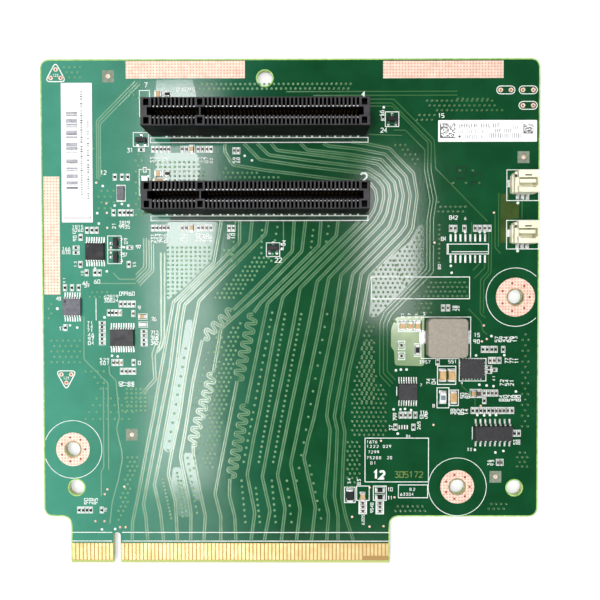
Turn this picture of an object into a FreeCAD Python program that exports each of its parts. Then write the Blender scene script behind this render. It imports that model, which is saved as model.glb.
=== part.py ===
import FreeCAD, Part
import math
import os

# PCIe riser card lying on its solder side, in millimetres.
# X runs along the card edge connector from the middle of its key notch, Y runs from the mating edge
# into the card, and Z rises from the solder side to the component side.
V = FreeCAD.Vector

# Board outline
board_width = 130.3
board_height = 132.5
board_thickness = 1.57
key_to_left_edge = 19.25
board_corner_radius = 2.5

# Card edge connector: sixteen lanes, contacts on both faces
contact_pitch = 1.0
left_finger_count = 11
right_finger_count = 71
finger_width = 0.7
finger_length = 4.35
finger_setback = 0.95
finger_thickness = 0.05
presence_finger_count = 7
presence_finger_recess = 1.1
key_width = 1.9
key_depth = 8.25
key_gap_pitches = 3
tab_side_margin = 0.65
tab_height = 12.5
tab_fillet = 2.0
bevel_length = 0.8
bevel_depth = 0.4

# Holes, each placed from its nearest board edges
mounting_hole_radius = 1.9
tooling_hole_radius = 2.0
left_mounting_hole_inset = 7.75
left_mounting_hole_height = 30.3
right_mounting_hole_inset = 6.25
right_mounting_hole_drop = 61.9
lower_mounting_hole_inset = 21.15
lower_mounting_hole_height = 20.4
lower_tooling_hole_height = 20.15
left_tooling_hole_inset = 8.65
right_tooling_hole_inset = 6.15
top_tooling_hole_x = 39.4
top_tooling_hole_drop = 5.0

# Vertical eight-lane slots
slot_left_contact_count = 11
slot_right_contact_count = 38
slot_length = 56.0
slot_width = 6.9
slot_height = 11.25
slot_end_margin = 3.0
slot_first_contact_x = 12.69
top_slot_drop = 16.53
slot_spacing = 20.32
channel_width = 1.85
channel_depth = 8.9
channel_end_play = 1.4
channel_key_width = 1.7
cell_width = 0.64
rim_thickness = 0.35
end_pocket_size = 1.3
end_pocket_depth = 2.5
contact_width = 0.46
contact_grip = 0.3
contact_bow_depth = 3.8
contact_tip_depth = 1.0
contact_tip_spread = 1.85
contact_thickness = 0.3
tail_row_inner = 1.25
tail_row_outer = 3.25
solder_joint_radius = 0.6
solder_joint_height = 1.0

# Three-way side headers at the right edge
header_length = 6.1
header_depth = 5.6
header_height = 4.7
header_edge_gap = 1.7
upper_header_drop = 32.5
header_spacing = 12.9
header_wall = 0.55
header_cavity_depth = 3.6
header_cavity_width = 2.6
header_tongue_thickness = 0.95
header_tongue_gap = 0.3
header_latch_length = 1.8
header_latch_inset = 0.9
header_taper = 0.9
header_latch_width = 0.35
header_pin_pitch = 1.29
header_pin_offset = 0.3
header_pin_count = 3
header_pin_width = 0.4
header_pin_reach = 1.1
header_pin_thickness = 0.25
header_nail_length = 1.9
header_nail_width = 0.6

# Power inductor
inductor_size = 10.3
inductor_depth = 10.1
inductor_height = 4.0
inductor_corner_cut = 0.6
inductor_edge_cut = 0.35
inductor_inset = 24.45
inductor_y = 59.9
inductor_terminal_width = 3.2
inductor_terminal_reach = 1.1
inductor_terminal_thickness = 0.25

# Leaded and leadless packages
package_standoff = 0.1
fine_body_width = 4.4
fine_body_height = 0.95
fine_lead_pitch = 0.65
fine_lead_width = 0.27
fine_lead_span = 6.4
wide_body_length = 9.9
wide_body_width = 3.9
wide_body_height = 1.5
wide_pin_count = 16
wide_lead_pitch = 1.27
wide_lead_width = 0.42
wide_lead_span = 6.0
lead_thickness = 0.18
driver_length = 6.2
driver_depth = 5.1
driver_height = 0.9
flat_body_width = 1.95
flat_body_length = 3.65
flat_body_height = 0.8
transistor_length = 2.9
transistor_width = 1.3
transistor_height = 1.0
transistor_span = 2.8
transistor_pitch = 0.95
transistor_share = 0.364

# Chip parts beside the slots
slot_capacitor_inset = 2.15
slot_part_gap = 1.4
fuse_gap = 1.6

# Paper labels
label_thickness = 0.1
left_label_width = 8.1
left_label_length = 36.3
left_label_inset = 5.4
left_label_drop = 6.1
right_label_width = 25.7
right_label_length = 5.6
right_label_inset = 0.8
right_label_drop = 16.0

# Derived places
left_edge = -key_to_left_edge
right_edge = board_width - key_to_left_edge
top_edge = board_height
top_face = board_thickness
finger_one_x = -(left_finger_count - 1 + key_gap_pitches / 2) * contact_pitch
tab_left = finger_one_x - tab_side_margin
last_finger_x = finger_one_x + (left_finger_count + right_finger_count + key_gap_pitches - 2) * contact_pitch
tab_right = last_finger_x + tab_side_margin
slot_lines = [top_edge - top_slot_drop, top_edge - top_slot_drop - slot_spacing]
slot_left = slot_first_contact_x - slot_end_margin
slot_right = slot_left + slot_length


def fromRight(distance):
    return right_edge - distance


def fromLeft(distance):
    return left_edge + distance


def fromTop(distance):
    return top_edge - distance


def block(x, y, z, length, depth, height):
    """A box centred on x and y that stands on z."""
    return Part.makeBox(length, depth, height, V(x - length / 2, y - depth / 2, z))


def polygonPrism(points, direction):
    wire = Part.makePolygon(points + points[:1])
    return Part.Face(wire).extrude(direction)


def contactPlaces(left_count, right_count, first_x):
    """The x of each contact in a row that skips two pitches at its key."""
    places = [first_x + i * contact_pitch for i in range(left_count)]
    start = first_x + (left_count - 1 + key_gap_pitches) * contact_pitch
    return places + [start + i * contact_pitch for i in range(right_count)]


def save(name, solids):
    shape = solids[0] if len(solids) == 1 else Part.makeCompound(solids)
    shape.exportStep("parts/" + name + ".step")


# ---- Laminate ----

def outlineFace():
    """The board's outline: a rectangle over a narrower tab, with rounded outer and inner corners."""
    corners = [
        (tab_left, 0, 0), (tab_right, 0, 0), (tab_right, tab_height, tab_fillet),
        (right_edge, tab_height, board_corner_radius), (right_edge, top_edge, board_corner_radius),
        (left_edge, top_edge, board_corner_radius), (left_edge, tab_height, board_corner_radius),
        (tab_left, tab_height, tab_fillet),
    ]
    edges = []
    starts = []
    ends = []
    for i, (x, y, radius) in enumerate(corners):
        here = V(x, y, 0)
        before = V(*corners[i - 1][:2], 0)
        after = V(*corners[(i + 1) % len(corners)][:2], 0)
        back = (before - here).normalize()
        on = (after - here).normalize()
        starts.append(here + back * radius)
        ends.append(here + on * radius)
        if radius:
            middle = here + (back + on) * radius * (1 - math.sqrt(0.5))
            edges.append(Part.Arc(starts[-1], middle, ends[-1]).toShape())
    for i, end in enumerate(ends):
        edges.append(Part.LineSegment(end, starts[(i + 1) % len(starts)]).toShape())
    return Part.Face(Part.Wire(Part.__sortEdges__(edges)))


def keyNotch():
    straight = key_depth - key_width / 2
    slot = Part.makeBox(key_width, straight, board_thickness, V(-key_width / 2, 0, 0))
    return slot.fuse(Part.makeCylinder(key_width / 2, board_thickness, V(0, straight, 0)))


def bevelCut(low):
    """The wedge taken off one face along the mating edge."""
    z = 0 if low else board_thickness
    inward = bevel_depth if low else -bevel_depth
    points = [V(tab_left, 0, z), V(tab_left, bevel_length, z), V(tab_left, 0, z + inward)]
    return polygonPrism(points, V(tab_right - tab_left, 0, 0))


mounting_holes = [
    (fromLeft(left_mounting_hole_inset), left_mounting_hole_height),
    (fromRight(right_mounting_hole_inset), fromTop(right_mounting_hole_drop)),
    (fromRight(lower_mounting_hole_inset), lower_mounting_hole_height),
]
tooling_holes = [
    (fromLeft(left_tooling_hole_inset), lower_tooling_hole_height),
    (fromRight(right_tooling_hole_inset), lower_tooling_hole_height),
    (top_tooling_hole_x, fromTop(top_tooling_hole_drop)),
]


def laminate():
    cuts = [keyNotch(), bevelCut(True), bevelCut(False)]
    for x, y in mounting_holes:
        cuts.append(Part.makeCylinder(mounting_hole_radius, board_thickness, V(x, y, 0)))
    for x, y in tooling_holes:
        cuts.append(Part.makeCylinder(tooling_hole_radius, board_thickness, V(x, y, 0)))
    return outlineFace().extrude(V(0, 0, board_thickness)).cut(cuts).removeSplitter()


def edgeFingers(z, short_count):
    """One face's gold fingers. The last ones are recessed, so that they mate last."""
    places = contactPlaces(left_finger_count, right_finger_count, finger_one_x)
    fingers = []
    for i, x in enumerate(places):
        recess = presence_finger_recess if i >= len(places) - short_count else 0
        length = finger_length - recess
        y = finger_setback + recess + length / 2
        fingers.append(block(x, y, z, finger_width, length, finger_thickness))
    return fingers


# ---- Slots ----

slot_contacts = contactPlaces(slot_left_contact_count, slot_right_contact_count, slot_first_contact_x)
slot_key_x = slot_contacts[slot_left_contact_count - 1] + key_gap_pitches * contact_pitch / 2
cell_floor = top_face + slot_height - channel_depth
cell_reach = slot_width / 2 - rim_thickness


def slotHousing(y):
    """A moulded housing with a card channel, a polarising key and an open cell for each contact."""
    body = Part.makeBox(slot_length, slot_width, slot_height, V(slot_left, y - slot_width / 2, top_face))
    channel_left = slot_contacts[0] - channel_end_play
    channel_right = slot_contacts[-1] + channel_end_play
    key_left = slot_key_x - channel_key_width / 2
    key_right = slot_key_x + channel_key_width / 2
    low = y - channel_width / 2
    cuts = [
        Part.makeBox(key_left - channel_left, channel_width, channel_depth, V(channel_left, low, cell_floor)),
        Part.makeBox(channel_right - key_right, channel_width, channel_depth, V(key_right, low, cell_floor)),
    ]
    for x in slot_contacts:
        cuts.append(block(x, y, cell_floor, cell_width, 2 * cell_reach, channel_depth))
    pocket_floor = top_face + slot_height - end_pocket_depth
    pocket_y = (cell_reach + channel_width / 2) / 2 + rim_thickness / 2
    for x in (channel_left - end_pocket_size / 2, slot_key_x, channel_right + end_pocket_size / 2):
        for side in (-1, 1):
            pocket_line = y + side * pocket_y
            cuts.append(block(x, pocket_line, pocket_floor,
                              end_pocket_size, end_pocket_size, end_pocket_depth))
    return body.cut(cuts)


def slotContacts(y, side):
    """One row of sprung contacts, which lean out of their cells and bow into the channel."""
    top = top_face + slot_height
    bow_y = channel_width / 2 - contact_grip
    bow_z = top - contact_bow_depth
    profile = [
        (cell_reach, cell_floor),
        (bow_y, bow_z),
        (contact_tip_spread, top - contact_tip_depth),
        (bow_y + contact_thickness, bow_z),
    ]
    row = []
    for x in slot_contacts:
        points = [V(x - contact_width / 2, y + side * across, z) for across, z in profile]
        row.append(polygonPrism(points, V(contact_width, 0, 0)))
    return row


def solderJoint(x, y):
    """A tail's solder joint under the board: a cone of solder, as a three-sided pyramid."""
    base = []
    for angle in (math.pi / 2, math.pi * 7 / 6, math.pi * 11 / 6):
        arm = V(math.cos(angle), math.sin(angle), 0) * solder_joint_radius
        base.append(V(x, y, 0) + arm)
    tip = V(x, y, -solder_joint_height)
    faces = [Part.Face(Part.makePolygon(base + base[:1]))]
    for i in range(len(base)):
        faces.append(Part.Face(Part.makePolygon([base[i - 1], base[i], tip, base[i - 1]])))
    return Part.Solid(Part.Shell(faces))


def slotSolderJoints(y):
    """Four rows at twice the contact pitch: each side's tails step between an inner and an outer row."""
    joints = []
    for i, x in enumerate(slot_contacts):
        offset = tail_row_outer if i % 2 else tail_row_inner
        joints += [solderJoint(x, y + offset), solderJoint(x, y - offset)]
    return joints


# ---- Side headers ----

header_lines = [fromTop(upper_header_drop), fromTop(upper_header_drop + header_spacing)]
header_x = fromRight(header_edge_gap + header_length / 2)


def headerHousing(y):
    """A shrouded header: a keyed cavity from above with a standing tongue, and a latch window behind it."""
    top = top_face + header_height
    body = block(header_x, y, top_face, header_length, header_depth, header_height)
    half_length = header_length / 2 - header_wall
    front = y - header_depth / 2 + header_wall
    back = front + header_cavity_width
    corner = header_taper
    floor = top - header_cavity_depth
    outline = [
        V(header_x - half_length, back, floor), V(header_x - half_length, front + corner, floor),
        V(header_x - half_length + corner, front, floor), V(header_x + half_length - corner, front, floor),
        V(header_x + half_length, front + corner, floor), V(header_x + half_length, back, floor),
    ]
    cavity = polygonPrism(outline, V(0, 0, header_cavity_depth))
    tongue_y = back - header_tongue_gap - header_tongue_thickness / 2
    tongue_length = 2 * (half_length - header_taper)
    tongue_height = header_cavity_depth * 0.85
    tongue = block(header_x, tongue_y, floor, tongue_length, header_tongue_thickness, tongue_height)
    latch_y = y + header_depth / 2 - header_latch_inset
    latch = block(header_x, latch_y, floor, header_latch_length, header_latch_width, header_cavity_depth)
    return body.cut([cavity, latch]).fuse(tongue)


def headerPins(y):
    """Leads that leave the housing's front foot and lie flat on their pads."""
    pins = []
    for i in range(header_pin_count):
        x = header_x + header_pin_offset + (i - (header_pin_count - 1) / 2) * header_pin_pitch
        pin_y = y - (header_depth + header_pin_reach) / 2
        pins.append(block(x, pin_y, top_face, header_pin_width, header_pin_reach, header_pin_thickness))
    return pins


def headerNails(y):
    nail_x = header_x - header_length / 2 - header_nail_width / 2
    nail = block(nail_x, y, top_face, header_nail_width, header_nail_length, header_pin_thickness)
    return [nail]


# ---- Inductor ----

inductor_x = fromRight(inductor_inset)


def inductorCore():
    core = block(inductor_x, inductor_y, top_face, inductor_size, inductor_depth, inductor_height)
    uprights = [edge for edge in core.Edges if abs(edge.tangentAt(edge.FirstParameter).z) > 0.9]
    core = core.makeChamfer(inductor_corner_cut, uprights)
    rim = [edge for edge in core.Edges if edge.BoundBox.ZMin > top_face + inductor_height - 0.01]
    return core.makeChamfer(inductor_edge_cut, rim)


def inductorTerminals():
    terminals = []
    for side in (-1, 1):
        x = inductor_x + side * (inductor_size + inductor_terminal_reach) / 2
        terminals.append(block(x, inductor_y, top_face, inductor_terminal_reach, inductor_terminal_width,
                               inductor_terminal_thickness))
    return terminals


# ---- Packages ----

def gullLead(x, y, side, along_x, width, body_half, span_half, height):
    """A lead that leaves the body's side at mid height and slopes down to its pad."""
    shoulder = package_standoff + height / 2
    profile = [
        (body_half, shoulder), (span_half, lead_thickness),
        (span_half, 0), (body_half, shoulder - lead_thickness),
    ]
    points = []
    for out, up in profile:
        if along_x:
            points.append(V(x - width / 2, y + side * out, top_face + up))
        else:
            points.append(V(x + side * out, y - width / 2, top_face + up))
    return polygonPrism(points, V(width, 0, 0) if along_x else V(0, width, 0))


def leadedPackage(name, x, y, length, depth, height, pins, pitch, width, span):
    """A body with a row of gull-wing leads along each long side, running in X."""
    body = block(x, y, top_face + package_standoff, length, depth, height)
    leads = []
    count = pins // 2
    for i in range(count):
        lead_x = x + (i - (count - 1) / 2) * pitch
        for side in (-1, 1):
            leads.append(gullLead(lead_x, y, side, True, width, depth / 2, span / 2, height))
    save(name + "_package", [body])
    save(name + "_leads", leads)


def fineBodyLength(pins):
    return (pins // 2 - 1) * fine_lead_pitch + 0.45


fine_packages = {
    "left_bus_switch": (fromLeft(14.15), fromTop(50.05), 16),
    "left_clock_buffer": (fromLeft(8.0), 67.95, 14),
    "level_shifter": (fromLeft(21.1), 59.85, 20),
    "right_bus_switch": (fromRight(34.3), 45.6, 16),
}
wide_package = (fromRight(11.95), 34.75)
driver_place = (fromRight(17.45), 51.6)
flat_place = (fromLeft(20.95), fromTop(34.8))
label_room = fromRight(right_label_inset + right_label_width) - slot_right
# The last value says whether the package is turned, with its single lead towards the left edge.
transistor_places = [
    (slot_right + transistor_share * label_room, fromTop(15.7), False),
    (fromLeft(60.75), fromTop(49.15), False),
    (fromLeft(19.55), fromTop(47.85), True),
    (fromLeft(19.55), fromTop(51.5), True),
]


def transistors():
    """Three-lead packages: a pair of leads on one side, and a single one in the middle of the other."""
    bodies = []
    leads = []
    body_half = transistor_width / 2
    span_half = transistor_span / 2
    z = top_face + package_standoff
    for x, y, turned in transistor_places:
        if turned:
            bodies.append(block(x, y, z, transistor_width, transistor_length, transistor_height))
            places = [(x, y - transistor_pitch, 1), (x, y + transistor_pitch, 1), (x, y, -1)]
        else:
            bodies.append(block(x, y, z, transistor_length, transistor_width, transistor_height))
            places = [(x - transistor_pitch, y, -1), (x + transistor_pitch, y, -1), (x, y, 1)]
        for lead_x, lead_y, side in places:
            leads.append(gullLead(lead_x, lead_y, side, not turned, wide_lead_width, body_half, span_half,
                                  transistor_height))
    return bodies, leads


# ---- Chip parts ----
# Each size is length, width and height over the terminations, and the termination's own length.
chip_sizes = {
    "1206": (3.2, 1.6, 1.0, 0.45),
    "0805": (2.0, 1.25, 0.9, 0.35),
}
# Each group has its size, the way its parts run, and where they are.
chip_groups = {
    "power_capacitor": ("1206", "y", [
        (fromRight(25.15), 49.9), (fromRight(22.85), 49.9), (fromRight(22.35), 44.1)]),
    "bulk_capacitor": ("0805", "y", [
        (fromRight(35.7), 62.85), (fromRight(33.75), 62.85), (fromRight(31.8), 62.85), (64.95, 17.9)]),
    "slot_capacitor": ("1206", "x", [
        (slot_left + slot_capacitor_inset, y + slot_width / 2 + slot_part_gap) for y in slot_lines]),
    "fuse": ("1206", "y", [
        (fromRight(25.1), 44.1), (slot_left - fuse_gap, slot_lines[1] + slot_width / 2 + slot_part_gap)]),
    "shunt_resistor": ("1206", "y", [(61.6, 18.25)]),
}


def chipPart(size, along, x, y):
    length, width, height, cap = chip_sizes[size]
    core = length - 2 * cap
    if along == "x":
        body = block(x, y, top_face, core, width, height)
        caps = [block(x + side * (length - cap) / 2, y, top_face, cap, width, height) for side in (-1, 1)]
    else:
        body = block(x, y, top_face, width, core, height)
        caps = [block(x, y + side * (length - cap) / 2, top_face, width, cap, height) for side in (-1, 1)]
    return body, caps


def saveChipGroup(name, size, along, places):
    bodies = []
    caps = []
    for x, y in places:
        body, ends = chipPart(size, along, x, y)
        bodies.append(body)
        caps += ends
    save(name + "_bodies", bodies)
    save(name + "_terminations", caps)


def main():
    os.makedirs("parts", exist_ok=True)
    save("pcb_laminate", [laminate()])
    save("edge_fingers_front", edgeFingers(top_face, presence_finger_count))
    save("edge_fingers_back", edgeFingers(-finger_thickness, 0))
    for number, y in enumerate(slot_lines, 1):
        slot = "slot_" + str(number)
        save(slot + "_housing", [slotHousing(y)])
        save(slot + "_contacts_north", slotContacts(y, 1))
        save(slot + "_contacts_south", slotContacts(y, -1))
        save(slot + "_solder_joints", slotSolderJoints(y))
    for number, y in enumerate(header_lines, 1):
        header = "side_header_" + str(number)
        save(header + "_housing", [headerHousing(y)])
        save(header + "_pins", headerPins(y))
        save(header + "_nails", headerNails(y))
    save("inductor_core", [inductorCore()])
    save("inductor_terminals", inductorTerminals())
    for name, (x, y, pins) in fine_packages.items():
        leadedPackage(name, x, y, fineBodyLength(pins), fine_body_width, fine_body_height, pins,
                      fine_lead_pitch, fine_lead_width, fine_lead_span)
    x, y = wide_package
    leadedPackage("power_sequencer", x, y, wide_body_length, wide_body_width, wide_body_height,
                  wide_pin_count, wide_lead_pitch, wide_lead_width, wide_lead_span)
    save("power_stage_package", [block(*driver_place, top_face, driver_length, driver_depth, driver_height)])
    save("flash_package", [block(*flat_place, top_face, flat_body_width, flat_body_length, flat_body_height)])
    bodies, leads = transistors()
    save("transistor_packages", bodies)
    save("transistor_leads", leads)
    for name, (size, along, places) in chip_groups.items():
        saveChipGroup(name, size, along, places)
    left_label_x = fromLeft(left_label_inset + left_label_width / 2)
    left_label_y = fromTop(left_label_drop + left_label_length / 2)
    save("left_label", [block(left_label_x, left_label_y, top_face, left_label_width, left_label_length,
                              label_thickness)])
    right_label_x = fromRight(right_label_inset + right_label_width / 2)
    right_label_y = fromTop(right_label_drop + right_label_length / 2)
    save("right_label", [block(right_label_x, right_label_y, top_face, right_label_width,
                               right_label_length, label_thickness)])


main()
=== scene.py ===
import bpy
import bmesh
import math
import random
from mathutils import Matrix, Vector


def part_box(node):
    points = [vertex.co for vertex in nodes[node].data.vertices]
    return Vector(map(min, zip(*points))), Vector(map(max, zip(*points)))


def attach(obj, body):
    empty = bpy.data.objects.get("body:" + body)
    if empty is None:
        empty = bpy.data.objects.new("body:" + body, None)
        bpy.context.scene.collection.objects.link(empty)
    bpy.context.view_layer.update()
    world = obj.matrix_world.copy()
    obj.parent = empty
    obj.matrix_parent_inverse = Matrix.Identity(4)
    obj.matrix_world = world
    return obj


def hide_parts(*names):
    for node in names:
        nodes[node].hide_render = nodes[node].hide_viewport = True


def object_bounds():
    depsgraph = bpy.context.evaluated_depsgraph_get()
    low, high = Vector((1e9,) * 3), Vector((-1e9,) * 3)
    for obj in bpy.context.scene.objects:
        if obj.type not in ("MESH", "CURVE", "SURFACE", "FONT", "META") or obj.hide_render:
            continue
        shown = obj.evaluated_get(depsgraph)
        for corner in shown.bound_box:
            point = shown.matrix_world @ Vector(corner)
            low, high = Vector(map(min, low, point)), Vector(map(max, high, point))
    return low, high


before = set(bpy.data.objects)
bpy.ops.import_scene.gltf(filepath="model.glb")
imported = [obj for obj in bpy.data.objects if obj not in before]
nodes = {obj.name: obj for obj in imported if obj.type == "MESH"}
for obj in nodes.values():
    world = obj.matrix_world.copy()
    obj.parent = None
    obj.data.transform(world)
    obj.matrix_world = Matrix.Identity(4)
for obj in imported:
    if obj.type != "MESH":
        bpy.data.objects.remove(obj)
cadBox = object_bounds()
mm = 0.001
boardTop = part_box("pcb_laminate")[1].z / mm
scene = bpy.context.scene
print("frame loaded:", len(nodes), "nodes")


def boxOf(name):
    # lowest and highest corner of a CAD piece in millimetres
    return [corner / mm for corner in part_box(name)]


def centre(low, high):
    return (low.x + high.x) / 2, (low.y + high.y) / 2


def boxLine(left, low, right, high):
    return [(left, low), (right, low), (right, high), (left, high)]


boardLow, boardHigh = boxOf("pcb_laminate")

# camera, lights and floor

studio = {
    "eye": (49.33, 73.27, 167.57),      # mm, above the component side
    "turn": (-1.230, 0.284, -0.064),    # degrees
    "lens": 37.97,
    "clip": (0.005, 20),
    "skyDiffuse": 0.55,
    "skyMirrored": (0.95, 0.22),        # strength low in the sky and overhead
    "skyHeights": (0.25, 0.85),         # where it turns from one to the other
    "floorColour": (0.90, 0.90, 0.90, 1),
    "floorLift": 0.55,                  # how far the floor is lifted to the backdrop's white
    "floorReach": 2.5,                  # metres
    # name: centre x, y, z in mm, width, depth, radiance
    "lamps": {
        "keySoftbox": (-97, 75, 600, 86, 490, 18.0),
        "lowSoftbox": (-91, -270, 600, 110, 200, 4.5),
        "rightSoftbox": (156, 122, 600, 64, 190, 17.0),
        "leftScreen": (-232, 60, 600, 180, 660, 2.1),
        "frontScreen": (-20, -330, 600, 520, 200, 2.2),
    },
}


def put(tree, kind, inputs=None, **settings):
    # adds a shader node; an input is a plain value or another node's output
    node = tree.nodes.new("ShaderNode" + kind)
    for name, value in settings.items():
        setattr(node, name, value)
    for name, value in (inputs or {}).items():
        if isinstance(value, bpy.types.NodeSocket):
            tree.links.new(value, node.inputs[name])
        else:
            node.inputs[name].default_value = value
    return node.outputs


def ranged(tree, value, low, high, start=0.3, end=0.7):
    return put(tree, "MapRange", {"Value": value, "From Min": start, "From Max": end, "To Min": low, "To Max": high})[0]


def larger(tree, first, second):
    return put(tree, "Math", {0: first, 1: second}, operation="MAXIMUM")[0]


def mixed(tree, share, first, second):
    return put(tree, "MixShader", {0: share, 1: first, 2: second})[0]


def makeCamera(look):
    lens = bpy.data.cameras.new("studioCamera")
    lens.lens = look["lens"]
    lens.sensor_width = 36
    lens.clip_start, lens.clip_end = look["clip"]
    camera = bpy.data.objects.new("studioCamera", lens)
    scene.collection.objects.link(camera)
    camera.location = Vector(look["eye"]) * mm
    camera.rotation_euler = [math.radians(a) for a in look["turn"]]
    scene.camera = camera


def makeLamps(look):
    for name, (x, y, z, width, depth, radiance) in look["lamps"].items():
        lamp = bpy.data.lights.new(name, "AREA")
        lamp.shape = "RECTANGLE"
        lamp.size = width * mm
        lamp.size_y = depth * mm
        lamp.energy = radiance * math.pi * lamp.size * lamp.size_y
        holder = bpy.data.objects.new(name, lamp)
        scene.collection.objects.link(holder)
        holder.location = Vector((x, y, z)) * mm
        holder.visible_camera = False


def makeSky(look):
    world = bpy.data.worlds.new("paleRoom")
    scene.world = world
    world.use_nodes = True
    tree = world.node_tree
    tree.nodes.clear()
    height = put(tree, "SeparateXYZ", {0: put(tree, "TexCoord")["Generated"]})["Z"]
    fade = ranged(tree, height, *look["skyMirrored"], *look["skyHeights"])
    shown, lit, mirrored = [put(tree, "Background", {"Strength": strength})[0]
                            for strength in (1.0, look["skyDiffuse"], fade)]
    path = put(tree, "LightPath")
    seen = larger(tree, path["Is Camera Ray"], path["Is Transmission Ray"])
    around = mixed(tree, path["Is Glossy Ray"], lit, mirrored)
    put(tree, "OutputWorld", {"Surface": mixed(tree, seen, around, shown)})


def makeFloor(look):
    mesh = bpy.data.meshes.new("floor")
    reach = look["floorReach"]
    mesh.from_pydata([(x, y, cadBox[0].z) for x, y in boxLine(-reach, -reach, reach, reach)], [], [(0, 1, 2, 3)])
    floor = bpy.data.objects.new("floor", mesh)
    scene.collection.objects.link(floor)
    paint = bpy.data.materials.new("paleFloor")
    paint.use_nodes = True
    tree = paint.node_tree
    tree.nodes.remove(tree.nodes["Principled BSDF"])
    matt = put(tree, "BsdfDiffuse", {"Color": look["floorColour"]})[0]
    glow = put(tree, "Emission", {"Strength": 1.0})[0]
    path = put(tree, "LightPath")
    seen = larger(tree, path["Is Camera Ray"], path["Is Glossy Ray"])
    seen = larger(tree, seen, path["Is Transmission Ray"])
    share = put(tree, "Math", {0: seen, 1: look["floorLift"]}, operation="MULTIPLY")[0]
    tree.links.new(mixed(tree, share, matt, glow), tree.nodes["Material Output"].inputs["Surface"])
    mesh.materials.append(paint)


makeCamera(studio)
makeLamps(studio)
makeSky(studio)
makeFloor(studio)
scene.view_settings.view_transform = "Standard"
print("studio ready")


# finishes

def tone(red, green, blue):
    # a colour as a screen shows it, 0 to 255, turned into light
    return tuple(((c / 255 + 0.055) / 1.055) ** 2.4 if c > 10 else c / 255 / 12.92 for c in (red, green, blue)) + (1,)


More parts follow.
